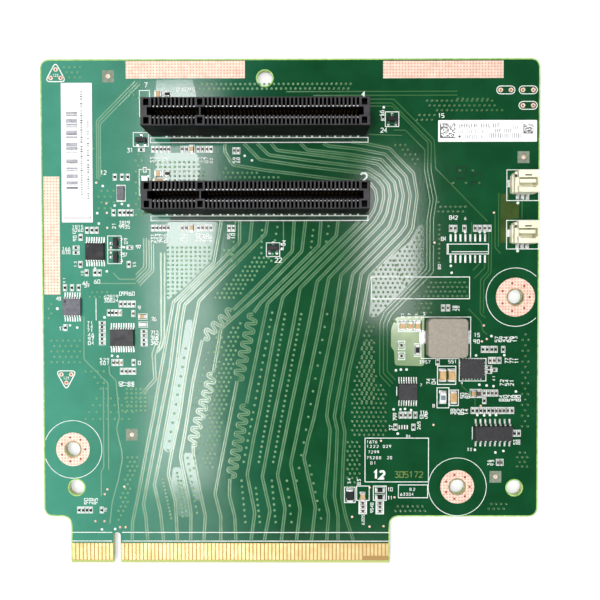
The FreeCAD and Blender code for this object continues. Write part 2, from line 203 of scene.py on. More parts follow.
usualLook = {"metal": 0.0, "bump": 0.10, "bumpGrain": 2600, "specular": 0.5}
finishes = {
    # dark and light tone, grain, roughness from and to, and what differs from the usual look
    "copperPad": ((220, 190, 170), (240, 216, 200), 700, (0.42, 0.60),
        {"metal": 0.15, "dots": ((206, 120, 90), 0.8, 0.32)}),
    "goldPlate": ((206, 176, 116), (226, 204, 150), 500, (0.30, 0.46),
        {"metal": 0.65, "bump": 0.06, "bumpGrain": 1800}),
    # the springs' gold, darkened with painted shade for the slot's shadowed channel
    "shadedContactGold": ((120, 88, 44), (166, 130, 78), 900, (0.26, 0.40),
        {"metal": 0.85, "bump": 0.04, "bumpGrain": 2400}),
    "contactTip": ((150, 148, 146), (206, 204, 200), 900, (0.34, 0.50),
        {"metal": 0.4, "bump": 0.12, "bumpGrain": 2800}),
    "darkLead": ((60, 60, 62), (96, 96, 98), 900, (0.34, 0.50), {"metal": 0.6, "bump": 0.12, "bumpGrain": 2800}),
    # painted shadow: the darker mask in the strips beside the slots
    "slotShadowMask": ((12, 48, 28), (18, 58, 34), 240, (0.22, 0.32), {"bump": 0.08, "bumpGrain": 1500, "specular": 0.2}),
    # one black resin in two painted copies: a near-black copy for walls and hollows as painted shade, a lighter copy
    # for the top faces as painted light
    "slotShadedResin": ((6, 6, 7), (15, 15, 17), 420, (0.56, 0.70), {"bump": 0.12, "bumpGrain": 3800, "specular": 0.12}),
    "slotLitTop": ((36, 35, 38), (58, 56, 61), 420, (0.44, 0.60), {"bump": 0.16, "bumpGrain": 3800, "specular": 0.3}),
    "ivoryResin": ((222, 218, 188), (244, 242, 220), 260, (0.36, 0.50)),
    "tinPlate": ((190, 190, 188), (240, 240, 238), 900, (0.30, 0.50),
        {"metal": 0.55, "bump": 0.18, "bumpGrain": 2800}),
    "solder": ((170, 172, 176), (225, 227, 230), 800, (0.18, 0.34), {"metal": 0.9, "bumpGrain": 1600}),
    "pressedPowder": ((143, 136, 123), (158, 151, 138), 1700, (0.58, 0.74), {"bump": 0.22, "bumpGrain": 3600}),
    "packageResin": ((24, 24, 27), (43, 43, 47), 1300, (0.46, 0.62), {"bump": 0.22, "bumpGrain": 4200}),
    "greyResin": ((78, 79, 87), (104, 105, 113), 1200, (0.46, 0.62), {"bump": 0.2, "bumpGrain": 4200}),
    "tanCeramic": ((176, 138, 86), (204, 170, 118), 900, (0.34, 0.50), {"bump": 0.12}),
    "brownCeramic": ((62, 46, 42), (100, 74, 64), 1100, (0.36, 0.54), {"bump": 0.12}),
    "whiteCeramic": ((218, 220, 220), (244, 245, 244), 900, (0.36, 0.52)),
    "blackFilm": ((14, 14, 16), (38, 38, 42), 900, (0.36, 0.50), {"bump": 0.08, "specular": 0.2}),
    "slateGlaze": ((92, 112, 128), (120, 140, 152), 900, (0.30, 0.44), {"bump": 0.08}),
    "whiteInk": ((208, 218, 212), (244, 248, 244), 900, (0.55, 0.72), {"bump": 0.2, "bumpGrain": 3200}),
    "blackInk": ((40, 40, 44), (84, 84, 90), 1200, (0.50, 0.66), {"bump": 0.05, "bumpGrain": 3000}),
    "greyInk": ((138, 138, 146), (176, 176, 184), 1200, (0.50, 0.66), {"bump": 0.05, "bumpGrain": 3000}),
    "labelPaper": ((232, 232, 230), (250, 250, 249), 500, (0.48, 0.62), {"bumpGrain": 2200}),
    # the covered copper and vias carry painted light along the board: lighter at the left end, darker at the right end
    "coveredCopper": ((82, 124, 88), (104, 142, 108), 380, (0.07, 0.11),
        {"bump": 0.08, "bumpGrain": 1500, "along": ((-8, 14, (94, 148, 118)), (44, 72, (52, 98, 56)))}),
    "powerSheet": ((122, 146, 108), (158, 174, 138), 120, (0.10, 0.15), {"bump": 0.08, "bumpGrain": 1500}),
    "coveredVia": ((84, 136, 92), (118, 158, 116), 900, (0.12, 0.18),
        {"bump": 0.08, "bumpGrain": 1500, "along": ((-8, 14, (90, 148, 112)), (40, 70, (56, 98, 52)))}),
    "bareGlass": ((44, 66, 20), (62, 84, 32), 300, (0.30, 0.42), {"specular": 0.12, "bumpGrain": 1500}),
    "routedRim": ((120, 170, 70), (176, 214, 118), 900, (0.50, 0.70), {"bump": 0.3, "bumpGrain": 3200}),
    # painted shade: the dark fill of holes, dimples and shadowed gaps
    "holeShade": ((18, 26, 20), (40, 48, 38), 900, (0.50, 0.70)),
    "holeRim": ((120, 106, 74), (176, 158, 116), 700, (0.34, 0.50), {"metal": 0.3, "bump": 0.2}),
    "mattTin": ((104, 116, 98), (134, 144, 124), 1200, (0.50, 0.66), {"bump": 0.05, "bumpGrain": 3000}),
    "drillRed": ((126, 40, 32), (160, 62, 48), 1200, (0.50, 0.66), {"bump": 0.05, "bumpGrain": 3000}),
    "oliveInk": ((84, 112, 44), (116, 142, 66), 900, (0.50, 0.66), {"bumpGrain": 3000}),
    "inkStamp": ((10, 46, 28), (14, 56, 34), 300, (0.34, 0.46),
        {"specular": 0.12, "bump": 0.06, "bumpGrain": 1500}),
}


def noise(tree, place, scale, detail=3.0):
    return put(tree, "TexNoise", {"Vector": place, "Scale": scale, "Detail": detail})["Fac"]


def blended(tree, share, first, second):
    return put(tree, "Mix", {0: share, 6: first, 7: second}, data_type="RGBA")[2]


def bumped(tree, shader, height, strength):
    normal = put(tree, "Bump", {"Height": height, "Strength": strength, "Distance": 0.00005})[0]
    tree.links.new(normal, shader.inputs["Normal"])


def newPaint(name, specular):
    paint = bpy.data.materials.new(name)
    paint.use_nodes = True
    tree = paint.node_tree
    shader = tree.nodes["Principled BSDF"]
    shader.inputs["Specular IOR Level"].default_value = specular
    place = put(tree, "TexCoord")["Object"]
    return paint, tree, shader, place


def makeFinish(name, dark, light, grain, rough, *changes):
    look = {**usualLook, **(changes[0] if changes else {})}
    paint, tree, shader, place = newPaint(name, look["specular"])
    shader.inputs["Metallic"].default_value = look["metal"]
    colour = blended(tree, ranged(tree, noise(tree, place, grain), 0, 1), tone(*dark), tone(*light))
    if "dots" in look:                     # a regular field of small marks
        mark, pitch, size = look["dots"]
        cells = put(tree, "TexVoronoi", {"Vector": place, "Scale": 1 / (pitch * mm), "Randomness": 0},
                    voronoi_dimensions="2D")
        colour = blended(tree, ranged(tree, cells["Distance"], 0.7, 0, size * 0.7, size), colour, tone(*mark))
    if "along" in look:                    # painted light: the tone is lighter towards the left end and darker towards the right end of the board
        across = put(tree, "SeparateXYZ", {0: place})["X"]
        (first, last, near), (start, end, far) = look["along"]
        colour = blended(tree, ranged(tree, across, 1, 0, first * mm, last * mm), colour, tone(*near))
        colour = blended(tree, ranged(tree, across, 0, 1, start * mm, end * mm), colour, tone(*far))
    tree.links.new(colour, shader.inputs["Base Color"])
    tree.links.new(ranged(tree, noise(tree, place, grain * 0.37), *rough), shader.inputs["Roughness"])
    bumped(tree, shader, noise(tree, place, look["bumpGrain"], 2.0), look["bump"])
    return paint


paints = {name: makeFinish(name, *look) for name, look in finishes.items()}

# Solder mask: green over the faces, lightened towards the left end by a painted reflection of the lamps, bare glass
# laminate on the edges and between the fingers.
mask = {
    # the left tone is a painted reflection, lighter than the mask's own green; the right tone is the darker green away
    # from it
    "right": (tone(10, 64, 33), tone(16, 75, 42)),
    "left": (tone(46, 128, 104), tone(56, 138, 114)),
    "fade": (-14, 46),                   # mm along the board, where the painted reflection's lighter left tone turns into the darker right tone
    "edge": (tone(196, 206, 132), tone(168, 180, 104)),
    "bare": tone(166, 132, 78),
    "bareBelow": 5.4,                    # mm from the mating edge
    "upright": (0.90, 0.95),             # how level a face is, between an edge and a flat
}
# roughness, and how much it mirrors: over bare laminate, and over a copper sheet, where it lies flatter
maskCoats = {"solderMask": (0.10, 0.13, 0.2), "pourMask": (0.08, 0.11, 0.5)}


def makeMask(name, look, smoothest, roughest, specular):
    paint, tree, shader, place = newPaint(name, specular)
    split = put(tree, "SeparateXYZ", {0: place})
    cloud = ranged(tree, noise(tree, place, 160), 0, 1)
    right, left = [blended(tree, cloud, *look[side]) for side in ("right", "left")]
    # painted reflection: the green lightens towards the left end of the board
    green = blended(tree, ranged(tree, split["X"], 0, 1, *[at * mm for at in look["fade"]]), left, right)
    # glass cloth under the edge of the laminate
    weave = put(tree, "TexWave", {"Vector": place, "Scale": 900, "Distortion": 3})["Fac"]
    normal = put(tree, "NewGeometry")["Normal"]
    facing = put(tree, "SeparateXYZ", {0: normal})["Z"]
    upright = put(tree, "Math", {0: facing}, operation="ABSOLUTE")[0]
    bare = ranged(tree, split["Y"], 1, 0, (look["bareBelow"] - 0.05) * mm, (look["bareBelow"] + 0.05) * mm)
    face = blended(tree, bare, green, look["bare"])
    colour = blended(tree, ranged(tree, upright, 0, 1, *look["upright"]), blended(tree, weave, *look["edge"]), face)
    tree.links.new(colour, shader.inputs["Base Color"])
    tree.links.new(ranged(tree, noise(tree, place, 90), smoothest, roughest), shader.inputs["Roughness"])
    bumped(tree, shader, noise(tree, place, 1300, 2.0), 0.10)
    return paint


for name, coat in maskCoats.items():
    paints[name] = makeMask(name, mask, *coat)
print("finishes ready:", len(paints))


# shapes, in millimetres

class Batch:
    # points and faces of one piece, each face with its own finish
    def __init__(self):
        self.points = []
        self.faces = []
        self.inks = []

    def add(self, shape, ink=0):
        points, faces = shape
        start = len(self.points)
        self.points += points
        self.faces += [tuple(i + start for i in face) for face in faces]
        self.inks += [ink] * len(faces)

    def make(self, name, coats, slot, replaced=(), smooth=False):
        mesh = bpy.data.meshes.new(name)
        mesh.from_pydata([Vector(p) * mm for p in self.points], [], self.faces)
        for coat in coats:
            mesh.materials.append(paints[coat])
        mesh.polygons.foreach_set("material_index", self.inks)
        turned = bmesh.new()
        turned.from_mesh(mesh)
        bmesh.ops.recalc_face_normals(turned, faces=turned.faces)
        turned.to_mesh(mesh)
        turned.free()
        if smooth:
            mesh.shade_smooth()
        piece = bpy.data.objects.new(name, mesh)
        scene.collection.objects.link(piece)
        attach(piece, "root")
        if replaced:
            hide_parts(*replaced)


def loft(rings):
    # skins between rings of the same count, with a cap at each end
    points = [tuple(p) for ring in rings for p in ring]
    n = len(rings[0])
    faces = [tuple(range(n))[::-1], tuple(range(len(points) - n, len(points)))]
    for k in range(len(rings) - 1):
        for i in range(n):
            j = (i + 1) % n
            faces.append((k * n + i, k * n + j, (k + 1) * n + j, (k + 1) * n + i))
    return points, faces


def plate(line, low, high):
    return loft([[(x, y, z) for x, y in line] for z in (low, high)])


def cutRect(x, y, z, width, depth, cut):
    a, b = width / 2, depth / 2
    corners = [(-a + cut, -b), (a - cut, -b), (a, -b + cut), (a, b - cut),
               (a - cut, b), (-a + cut, b), (-a, b - cut), (-a, -b + cut)]
    return [(x + u, y + v, z) for u, v in corners]


def chamferBlock(x, y, z, width, depth, height, cut):
    # a block with all its edges broken
    levels = [(0, 2, 0.5), (cut, 0, 1), (height - cut, 0, 1), (height, 2, 0.5)]
    return loft([cutRect(x, y, z + up, width - inset * cut, depth - inset * cut, cut * corner)
                 for up, inset, corner in levels])


def slab(left, low, right, high, height, cut):
    # the same between two corners, standing on the board
    return chamferBlock((left + right) / 2, (low + high) / 2, z0, right - left, high - low, height, cut)


def mouldedBlock(x, y, z, width, depth, height, draft=0.12, cut=0.12):
    # a moulded package: a parting line at mid height, and sides that draw in above and below it
    lip, drawn = 0.04, 2 * draft
    levels = [(0, drawn + 0.05), (height * 0.46, lip), (height * 0.46, 0), (height * 0.54, 0), (height * 0.54, lip),
              (height - lip, drawn), (height, drawn + 0.1)]
    return loft([cutRect(x, y, z + up, width - inset, depth - inset, cut) for up, inset in levels])


def circle(x, y, z, radius, n=24, start=0.0):
    angles = [start + 2 * math.pi * i / n for i in range(n)]
    return [(x + radius * math.cos(a), y + radius * math.sin(a), z) for a in angles]


def disc(x, y, radius, low, high, n=24):
    return loft([circle(x, y, low, radius, n), circle(x, y, high - (high - low) * 0.3, radius, n),
                 circle(x, y, high, radius * 0.94, n)])


def ring(x, y, inner, outer, low, high, n=32):
    # a closed flat ring
    loops = [circle(x, y, z, radius, n) for z, radius in ((low, inner), (low, outer), (high, outer), (high, inner))]
    points = [p for loop in loops for p in loop]
    faces = []
    for k in range(4):
        for i in range(n):
            j = (i + 1) % n
            m = (k + 1) % 4
            faces.append((k * n + i, k * n + j, m * n + j, m * n + i))
    return points, faces


def offsetLine(path, distance, closed=False):
    # the same line moved sideways, mitred at its bends
    moved, n = [], len(path)
    for i, (x, y) in enumerate(path):
        before = path[i - 1] if i or closed else None
        after = path[(i + 1) % n] if i < n - 1 or closed else None
        back = Vector((x - before[0], y - before[1])).normalized() if before else None
        on = Vector((after[0] - x, after[1] - y)).normalized() if after else back
        mean = (back or on) + on
        mean = mean.normalized() if mean.length > 1e-6 else on
        out = Vector((-mean.y, mean.x))
        reach = distance / max(0.35, out.dot(Vector((-on.y, on.x))))
        moved.append((x + out.x * reach, y + out.y * reach))
    return moved


def ribbon(path, width, low, high, closed=False):
    # a flat strip along a line
    n = len(path)
    points = []
    for (a, b), (c, d) in zip(offsetLine(path, width / 2, closed), offsetLine(path, -width / 2, closed)):
        points += [(a, b, low), (c, d, low), (c, d, high), (a, b, high)]
    faces = []
    for i in range(n if closed else n - 1):
        a, b = 4 * i, 4 * ((i + 1) % n)
        faces += [(a + k, a + (k + 1) % 4, b + (k + 1) % 4, b + k) for k in range(4)]
    if not closed:
        faces += [(3, 2, 1, 0), tuple(4 * (n - 1) + k for k in range(4))]
    return points, faces


def domedRibbon(path, width, low, high):
    # a strip with a barely rounded back, as the mask runs over a copper line
    crown = high - 0.002
    rows = [(0.5, low), (0.46, crown), (0.2, high), (-0.2, high), (-0.46, crown), (-0.5, low)]
    points = [(x, y, level) for share, level in rows for x, y in offsetLine(path, width * share)]
    n = len(path)
    faces = [(k * n + i, k * n + i + 1, (k + 1) * n + i + 1, (k + 1) * n + i) for k in range(5) for i in range(n - 1)]
    return points, faces


def rounded(path, radius, steps=4):
    # the same line with its bends eased
    eased = [path[0]]
    for a, b, c in zip(path, path[1:], path[2:]):
        a, b, c = Vector(a), Vector(b), Vector(c)
        reach = min(radius, (b - a).length * 0.45, (c - b).length * 0.45)
        start = b + (a - b).normalized() * reach
        end = b + (c - b).normalized() * reach
        for k in range(steps + 1):
            t = k / steps
            eased.append(tuple((1 - t) ** 2 * start + 2 * t * (1 - t) * b + t * t * end))
    return eased + [path[-1]]


def roundedLoop(corners, radius, steps):
    return rounded(corners + corners[:2], radius, steps)[1:-1]


def sweep(profile, x, y, along, width):
    # a flat strip bent in a vertical plane: profile holds the outline as distance out and height
    ux, uy = along
    near = [(x + ux * u - uy * width / 2, y + uy * u + ux * width / 2, z) for u, z in profile]
    far = [(x + ux * u + uy * width / 2, y + uy * u - ux * width / 2, z) for u, z in profile]
    return loft([near, far])


def solidBoxes(name):
    # lowest and highest corner of each separate solid in a node
    mesh = nodes[name].data
    index = {}
    key = [index.setdefault(tuple(round(c, 6) for c in v.co), len(index)) for v in mesh.vertices]
    parent = list(range(len(index)))

    def top(i):
        while parent[i] != i:
            parent[i] = parent[parent[i]]
            i = parent[i]
        return i

    for polygon in mesh.polygons:
        first = top(key[polygon.vertices[0]])
        for v in polygon.vertices[1:]:
            parent[top(key[v])] = first
    groups = {}
    for place, i in index.items():
        low, high = groups.setdefault(top(i), ([9.0] * 3, [-9.0] * 3))
        for k in range(3):
            low[k] = min(low[k], place[k])
            high[k] = max(high[k], place[k])
    boxes = [(Vector(low) / mm, Vector(high) / mm) for low, high in groups.values()]
    return sorted(boxes, key=lambda box: (round(box[0].x, 2), round(box[0].y, 2)))


def middle(box):
    return (box[0] + box[1]) / 2


# plain figures, drawn as strokes in a box 0.6 wide and 1 high
strokes = {
    "0": [[(0, 0), (0.6, 0), (0.6, 1), (0, 1), (0, 0)]],
    "1": [[(0.1, 0.8), (0.3, 1), (0.3, 0)]],
    "2": [[(0, 0.85), (0.15, 1), (0.45, 1), (0.6, 0.85), (0.6, 0.6), (0, 0), (0.6, 0)]],
    "3": [[(0, 1), (0.6, 1), (0.25, 0.6), (0.6, 0.4), (0.6, 0.1), (0.45, 0), (0, 0)]],
    "4": [[(0.45, 0), (0.45, 1), (0, 0.35), (0.6, 0.35)]],
    "5": [[(0.6, 1), (0, 1), (0, 0.55), (0.5, 0.55), (0.6, 0.4), (0.6, 0.1), (0.5, 0), (0, 0)]],
    "6": [[(0.55, 1), (0.15, 0.8), (0, 0.5), (0, 0), (0.6, 0), (0.6, 0.5), (0, 0.5)]],
    "7": [[(0, 1), (0.6, 1), (0.2, 0)]],
    "8": [[(0, 0), (0.6, 0), (0.6, 1), (0, 1), (0, 0)], [(0, 0.52), (0.6, 0.52)]],
    "9": [[(0.6, 0.5), (0, 0.5), (0, 1), (0.6, 1), (0.6, 0.4), (0.3, 0)]],
}


def figures(batch, text, x, y, size, low, high, ink=0, turn=0, weight=0.15):
    # writes plain numbers from their lower left corner; turn is in quarter turns
    c, s = [(1, 0), (0, 1), (-1, 0), (0, -1)][turn % 4]
    for k, mark in enumerate(text):
        for stroke in strokes[mark]:
            line = [((u + k * 0.85) * size, v * size) for u, v in stroke]
            line = [(x + c * u - s * v, y + s * u + c * v) for u, v in line]
            closed = line[0] == line[-1]
            batch.add(ribbon(line[:-1] if closed else line, weight * size, low, high, closed), ink)


print("tools ready")


# routed rim, bare copper and holes

layers = {"pour": 0.012, "trace": 0.045, "via": 0.09, "copper": 0.04, "ink": 0.06, "rim": 0.008}    # mm above the board
z0 = boardTop - 0.01      # all of them start a little inside it


def zAt(layer):
    return boardTop + layers[layer]


slotBoxes = [boxOf("slot_%d_housing" % k) for k in (1, 2)]
slotLines = [centre(*box)[1] for box in slotBoxes]
tab = {"left": -12.15, "right": 72.15, "low": 0.9, "shoulder": 12.5}
holes = {
    "mounting": [(-11.5, 30.3), (104.9, 70.4), (89.9, 20.4)], "mountingRadius": 1.9,
    "tooling": [(-10.6, 20.15), (104.9, 20.15), (39.4, 127.5)], "toolingRadius": 2.0,
    "padInner": 2.3, "padOuter": (4.45, 5.1, 4.45), "inkRing": 7.65,
    "ringVias": 7, "ringViaShare": 0.73, "firstVia": 103,      # the first one's angle in degrees
}
copper = {
    # left, low, right, high
    "strips": [(3.1, 127.5, 34.2, 132.05), (70.2, 127.4, 101.5, 131.9), (-18.65, 71.2, -14.45, 102.1)],
    "fiducials": [(-1.5, 128.1), (106.8, 106.9), (4.1, 34.2), (99.95, 23.05)],
    "fiducialSquare": 3.1, "fiducialDot": 0.55, "testDot": 0.30,
    "testDots": [(83.6, 36.8), (96, 41.8), (96.7, 63), (97.5, 59.4), (96.2, 58.8), (69.8, 32.6), (62.2, 12.4),
                 (66.8, 9.8), (70.5, 9.9), (66.8, 20.2), (73.4, 17.6), (-4.8, 100.5), (-2, 88.7), (-1.1, 83.5),
                 (-1.1, 82.2), (99.2, 92.5), (83.7, 84.7), (-2.2, 95.1), (-2.1, 92.6), (-2.5, 19.7), (-3.2, 18.4),
                 (2, 20.4), (0.8, 9.6), (2.3, 9.6), (-3.3, 11.2), (-5.7, 11.2)],
    "ovals": [(102.1, 124.3), (107.9, 124.3), (107.9, 120.3)],
    "ovalHalf": 1.35, "ovalRing": (0.22, 0.62), "couponRing": (0.24, 0.58),
    # place, and which way it points
    "coupons": [(-15.2, 128.5, 1), (-13.1, 49.35, -1)],
}
rim = {"inset": 0.16, "width": 0.30, "corner": 2.6, "tooling": 0.32, "mounting": 0.42}


def makeRim():
    # the translucent strip that the mask leaves along each routed edge
    laid = Batch()
    low, shoulder = tab["low"], tab["shoulder"]
    path = [(tab["left"], low), (tab["left"], shoulder), (boardLow.x, shoulder), (boardLow.x, boardHigh.y),
            (boardHigh.x, boardHigh.y), (boardHigh.x, shoulder), (tab["right"], shoulder), (tab["right"], low)]
    laid.add(ribbon(offsetLine(rounded(path, rim["corner"], 6), -rim["inset"]), rim["width"], z0, zAt("rim")))
    for ink, kind, layer in ((0, "tooling", "rim"), (1, "mounting", "copper")):
        inner = holes[kind + "Radius"]
        for x, y in holes[kind]:
            laid.add(ring(x, y, inner, inner + rim[kind], z0, zAt(layer), 40), ink)
    laid.make("routed_rim", ["routedRim", "holeRim"], "solder_mask")


def makeCopper():
    bare = Batch()
    top = zAt("copper")
    for strip in copper["strips"]:
        bare.add(slab(*strip, top - z0, 0.015))
    for (x, y), outer in zip(holes["mounting"], holes["padOuter"]):
        bare.add(ring(x, y, holes["padInner"], outer, z0, top, 56))
        for k in range(holes["ringVias"]):     # plated holes round the ring
            angle = math.radians(holes["firstVia"] + k * 360 / holes["ringVias"])
            u, v = [c + outer * holes["ringViaShare"] * turn(angle) for c, turn in ((x, math.cos), (y, math.sin))]
            bare.add(disc(u, v, 0.32, z0, top + 0.01, 14), 4)
    side = copper["fiducialSquare"]
    for x, y in copper["fiducials"]:
        bare.add(chamferBlock(x, y, z0, side, side, 0.03, 0.01), 3)
        bare.add(disc(x, y, copper["fiducialDot"], z0, top + 0.01, 24))
    for x, y in copper["testDots"]:
        bare.add(disc(x, y, copper["testDot"], z0, top, 14))
    inner, outer = copper["ovalRing"]
    for x, y in copper["ovals"]:
        for side in (-copper["ovalHalf"], copper["ovalHalf"]):
            bare.add(ring(x + side, y, inner, outer, z0, top, 20))
            # the drilled hole is filled with painted shade
            bare.add(disc(x + side, y, inner, z0, top - 0.02, 16), 1)
    inner, outer = copper["couponRing"]
    for x, y, up in copper["coupons"]:
        for u, v in ((-1.3, -0.8 * up), (1.3, -0.8 * up), (0, 1.4 * up)):
            bare.add(ring(x + u, y + v, inner, outer, z0, top, 18))
            bare.add(disc(x + u, y + v, inner, z0, top - 0.02, 14), 4)
    bare.make("bare_copper", ["copperPad", "holeShade", "tinPlate", "mattTin", "drillRed"], "gold_plate")


makeRim()
makeCopper()
print("copper laid")

# traces and plated holes under the mask

routing = {
    "pairWidth": 0.39, "pairGap": 0.14, "lineWidth": 0.34,
    # differential pairs from the slots to the fingers, in millimetres
    "pairs": [
        [(28, 90.4), (26, 79.5), (15.2, 69.1), (14.1, 63.2), (12.1, 52.6), (9.7, 39), (7.7, 29.2), (5.9, 19.4),
         (4.1, 10.9), (4, 6.2)],
        [(32.8, 90.4), (32.7, 84.8), (16.8, 69), (15.8, 63.2), (14.3, 52), (11.7, 39.6), (9.6, 29.2), (7.9, 20.7),
         (7, 15.6), (7.6, 12.7), (8.1, 6.2)],
        [(36, 90.4), (35.4, 84.9), (18.2, 68.5), (17.3, 63.2), (16, 52.6), (13.8, 40.2), (11.8, 29.8), (9.9, 20.8),
         (11.5, 13.9), (12.3, 6.2)],
        [(40, 90.4), (39.5, 87), (22, 69.5), (20.5, 62), (18, 47.8), (16.8, 39.6), (14.3, 28), (13.6, 23.8),
         (15.5, 16.4), (16, 6.2)],
        [(47, 90.4), (46.5, 82.5), (36.5, 72.5), (31, 67.2)],
        [(22.8, 59.2), (20.4, 48.7), (18, 34.1), (16.9, 28.4), (19.1, 17), (19.6, 13.6), (19.5, 6.2)],
        [(50, 90.4), (49, 82.5), (38, 71.3), (27.8, 62.2), (25.8, 51)],
        [(20.3, 31), (20.3, 29.2), (21.3, 23.1), (22.6, 16.4), (23.4, 12.7), (23, 6.2)],
        [(54, 90.4), (53.5, 84), (38.2, 69), (36.4, 66.5)],
        [(32, 48.4), (27.5, 26), (26, 18.5), (27.5, 12.5), (27.5, 6.2)],
        [(58.5, 90.4), (58, 86.5), (40, 68.8), (38.5, 62), (34.4, 42.5)],
        [(30, 22.5), (29.8, 18), (31.2, 12.5), (31.5, 6.2)],
        [(64, 90.4), (44, 70.5), (42, 62), (38, 41), (36.2, 33), (34.5, 23.5), (36.5, 13.5), (35.5, 6.2)],
        [(29, 110.6), (29, 108.5), (31.1, 105), (39.6, 103.6), (60, 101), (66.8, 100.2), (68.2, 98.4), (68.6, 96),
         (67.8, 93), (66, 90.4), (48.5, 72.8), (46.5, 62), (42, 41), (40.4, 33), (38.5, 23), (40.5, 14), (39, 6.2)],
        [(33.9, 110.6), (38, 106.4), (50, 104.6), (66.3, 102.7), (68.8, 101), (70.2, 99.2), (70.4, 96.5),
         (69.6, 93), (68, 90.2), (53, 74.6), (50.5, 62), (46, 41), (44.4, 33), (42.5, 23.5), (44.5, 14.5),
         (43.5, 6.2)],
        [(37.4, 110.6), (40.4, 107.6), (52, 106), (66.3, 104.2), (69.8, 102), (71.6, 99.8), (72.1, 97),
         (71.2, 92.4), (70, 90), (56, 75.4), (53.5, 62), (49, 41), (47.4, 33), (46, 26.5), (48.5, 14.5),
         (47.5, 6.2)],
        [(41, 110.6), (42.5, 108.8), (54, 107.4), (66, 105.8), (69, 105.2), (73.2, 100.5), (73.9, 97), (72.8, 91.6),
         (71.8, 88.8), (59.2, 76.2), (57, 62), (52, 38), (50.6, 33), (49.5, 28), (52.5, 15), (51.5, 6.2)],
        [(48.7, 110.6), (50.4, 108.9), (61.5, 107.7), (69.8, 106.4), (74.6, 101.3), (75.6, 97), (74.5, 90.6),
         (73.4, 88.2), (62.3, 76.6), (59.5, 62), (56, 43.5), (55.5, 39), (56.4, 35.5), (56, 28), (55, 17.5),
         (56, 13), (55.5, 6.2)],
        [(54.6, 110.6), (56, 109.9), (63, 109.2), (70.8, 107.8), (76.2, 102), (77.4, 97), (76.3, 89.2),
         (74.9, 87.2), (64.5, 76.6), (62, 62), (58, 42), (57.5, 39), (58.3, 35.5), (58, 27.5), (57.5, 18),
         (58.5, 12.5), (58.5, 6.2)],
        [(62, 110.9), (66, 110.5), (71.9, 109.3), (78.2, 102.8), (79.2, 97), (78, 88.2), (76.7, 86.2), (66.7, 76),
         (64, 62), (61.5, 51.5), (60, 42), (59.5, 38.5), (60.3, 35), (59.8, 27), (59.5, 17.5), (60.5, 12.5),
         (62.5, 6.2)],
    ],
    # folded lengths: start, end, half width, folds
    "folds": [
        ((30.6, 66.9), (23.2, 59.8), 1.1, 4), ((25.6, 50.4), (19.8, 31.4), 1.1, 8),
        ((36.2, 66), (32.2, 48.8), 1.15, 7), ((34.2, 42), (30.2, 23), 1.1, 8),
    ],
    "lines": [
        [(45, 124), (89.5, 124)], [(52, 123), (89.5, 123)],
        [(60, 122), (73, 122), (83.5, 111.5), (84, 104), (97.5, 90.2)],
        [(60, 121), (72.5, 121), (82.8, 110.7), (82.8, 103.6), (84.3, 96.2), (83.5, 90.9), (83.5, 85.2)],
        [(60, 120.2), (72.5, 120.2), (81.9, 110.8), (81.9, 103.6), (83.4, 96), (82.6, 90.9), (82.6, 77.5),
         (71.5, 66), (70.4, 63.4), (70.4, 50.4), (72.9, 47.7)],
        [(73, 114), (76, 114), (81.1, 108.9), (81.1, 103.6), (82.6, 95.6), (81.8, 90.7), (81.8, 77.9), (70.5, 66.4),
         (69.4, 63.6), (69.4, 50), (72.3, 46.9)],
        [(83.5, 84.1), (83.5, 76.9), (72.5, 65.8), (71.4, 63.2), (71.4, 51), (73.6, 48.6)],
        [(11.9, 82.2), (11.9, 60), (11.2, 57)], [(12.1, 82.2), (12.1, 60), (11.4, 57)],
        [(12.9, 82.2), (12.7, 60.2), (12, 57.4), (10.7, 56)],
        [(13.1, 82.2), (12.9, 60.2), (12.2, 57.2), (10.9, 55.8)],
        [(66.5, 112.9), (75.2, 112.6)],
        [(5.5, 126.8), (-4.6, 116.6), (-4.6, 101.5)], [(6.1, 126.4), (-4.1, 116.2), (-4.1, 101.2)],
        [(6.8, 126.1), (-3.6, 115.7), (-3.6, 102)],
        [(7.5, 86), (7.5, 78.5), (5.4, 76.4)], [(8.2, 86), (8.2, 78.2), (5.4, 75.5)],
        [(8.9, 85.5), (8.9, 77.9), (5.6, 74.6)],
        [(9.5, 85), (9.5, 77.6), (6, 74.1)], [(10.1, 84.5), (10.1, 77.3), (6.4, 73.5)],
        [(11.4, 61), (9.5, 55.5), (10, 49), (6.5, 45)], [(12, 60), (10.3, 55), (10.6, 48.6), (7.2, 45)],
        [(99.5, 92), (99.5, 83.4), (101, 81.8)],
        [(100.4, 97.6), (100.4, 83.6)], [(93.4, 90), (93.4, 84.4)], [(44.2, 90.4), (44.2, 84.6)],
        [(97.9, 87.4), (97.8, 77.2), (95.8, 75), (95.7, 66.2), (97.1, 65)],
        [(98.6, 87.4), (98.5, 76.8), (96.6, 74.7), (96.6, 66.2)],
        [(95.5, 79.2), (93.8, 77.4)], [(96.8, 79.2), (96.9, 78.1), (94.1, 75.3)],
        [(-8.3, 65.4), (-8.4, 54.2), (-2.1, 47.8), (-2.1, 24.9)],
        [(-3.3, 46.9), (-3.4, 25.5), (-4.1, 24.3), (-4.1, 17.9)],
        [(-1.8, 52.6), (-1.7, 50.3), (0, 48.5), (0.4, 43.7), (0.8, 39), (0.1, 36.2), (0.3, 34.4), (1.4, 29.8),
         (1.5, 27.7), (0.5, 22.5), (-1.2, 16.4), (-1.9, 10.6)],
        [(-0.5, 76.9), (1, 75.2), (5.3, 75.2)], [(-5.5, 74.1), (5.4, 74.1)],
        [(92.6, 67.4), (96, 64), (96.4, 61.6), (97.6, 60.6)],
        [(106.5, 96.4), (106.5, 91)], [(94.5, 41.8), (94.5, 43.6), (90.8, 47.3)],
    ],
}
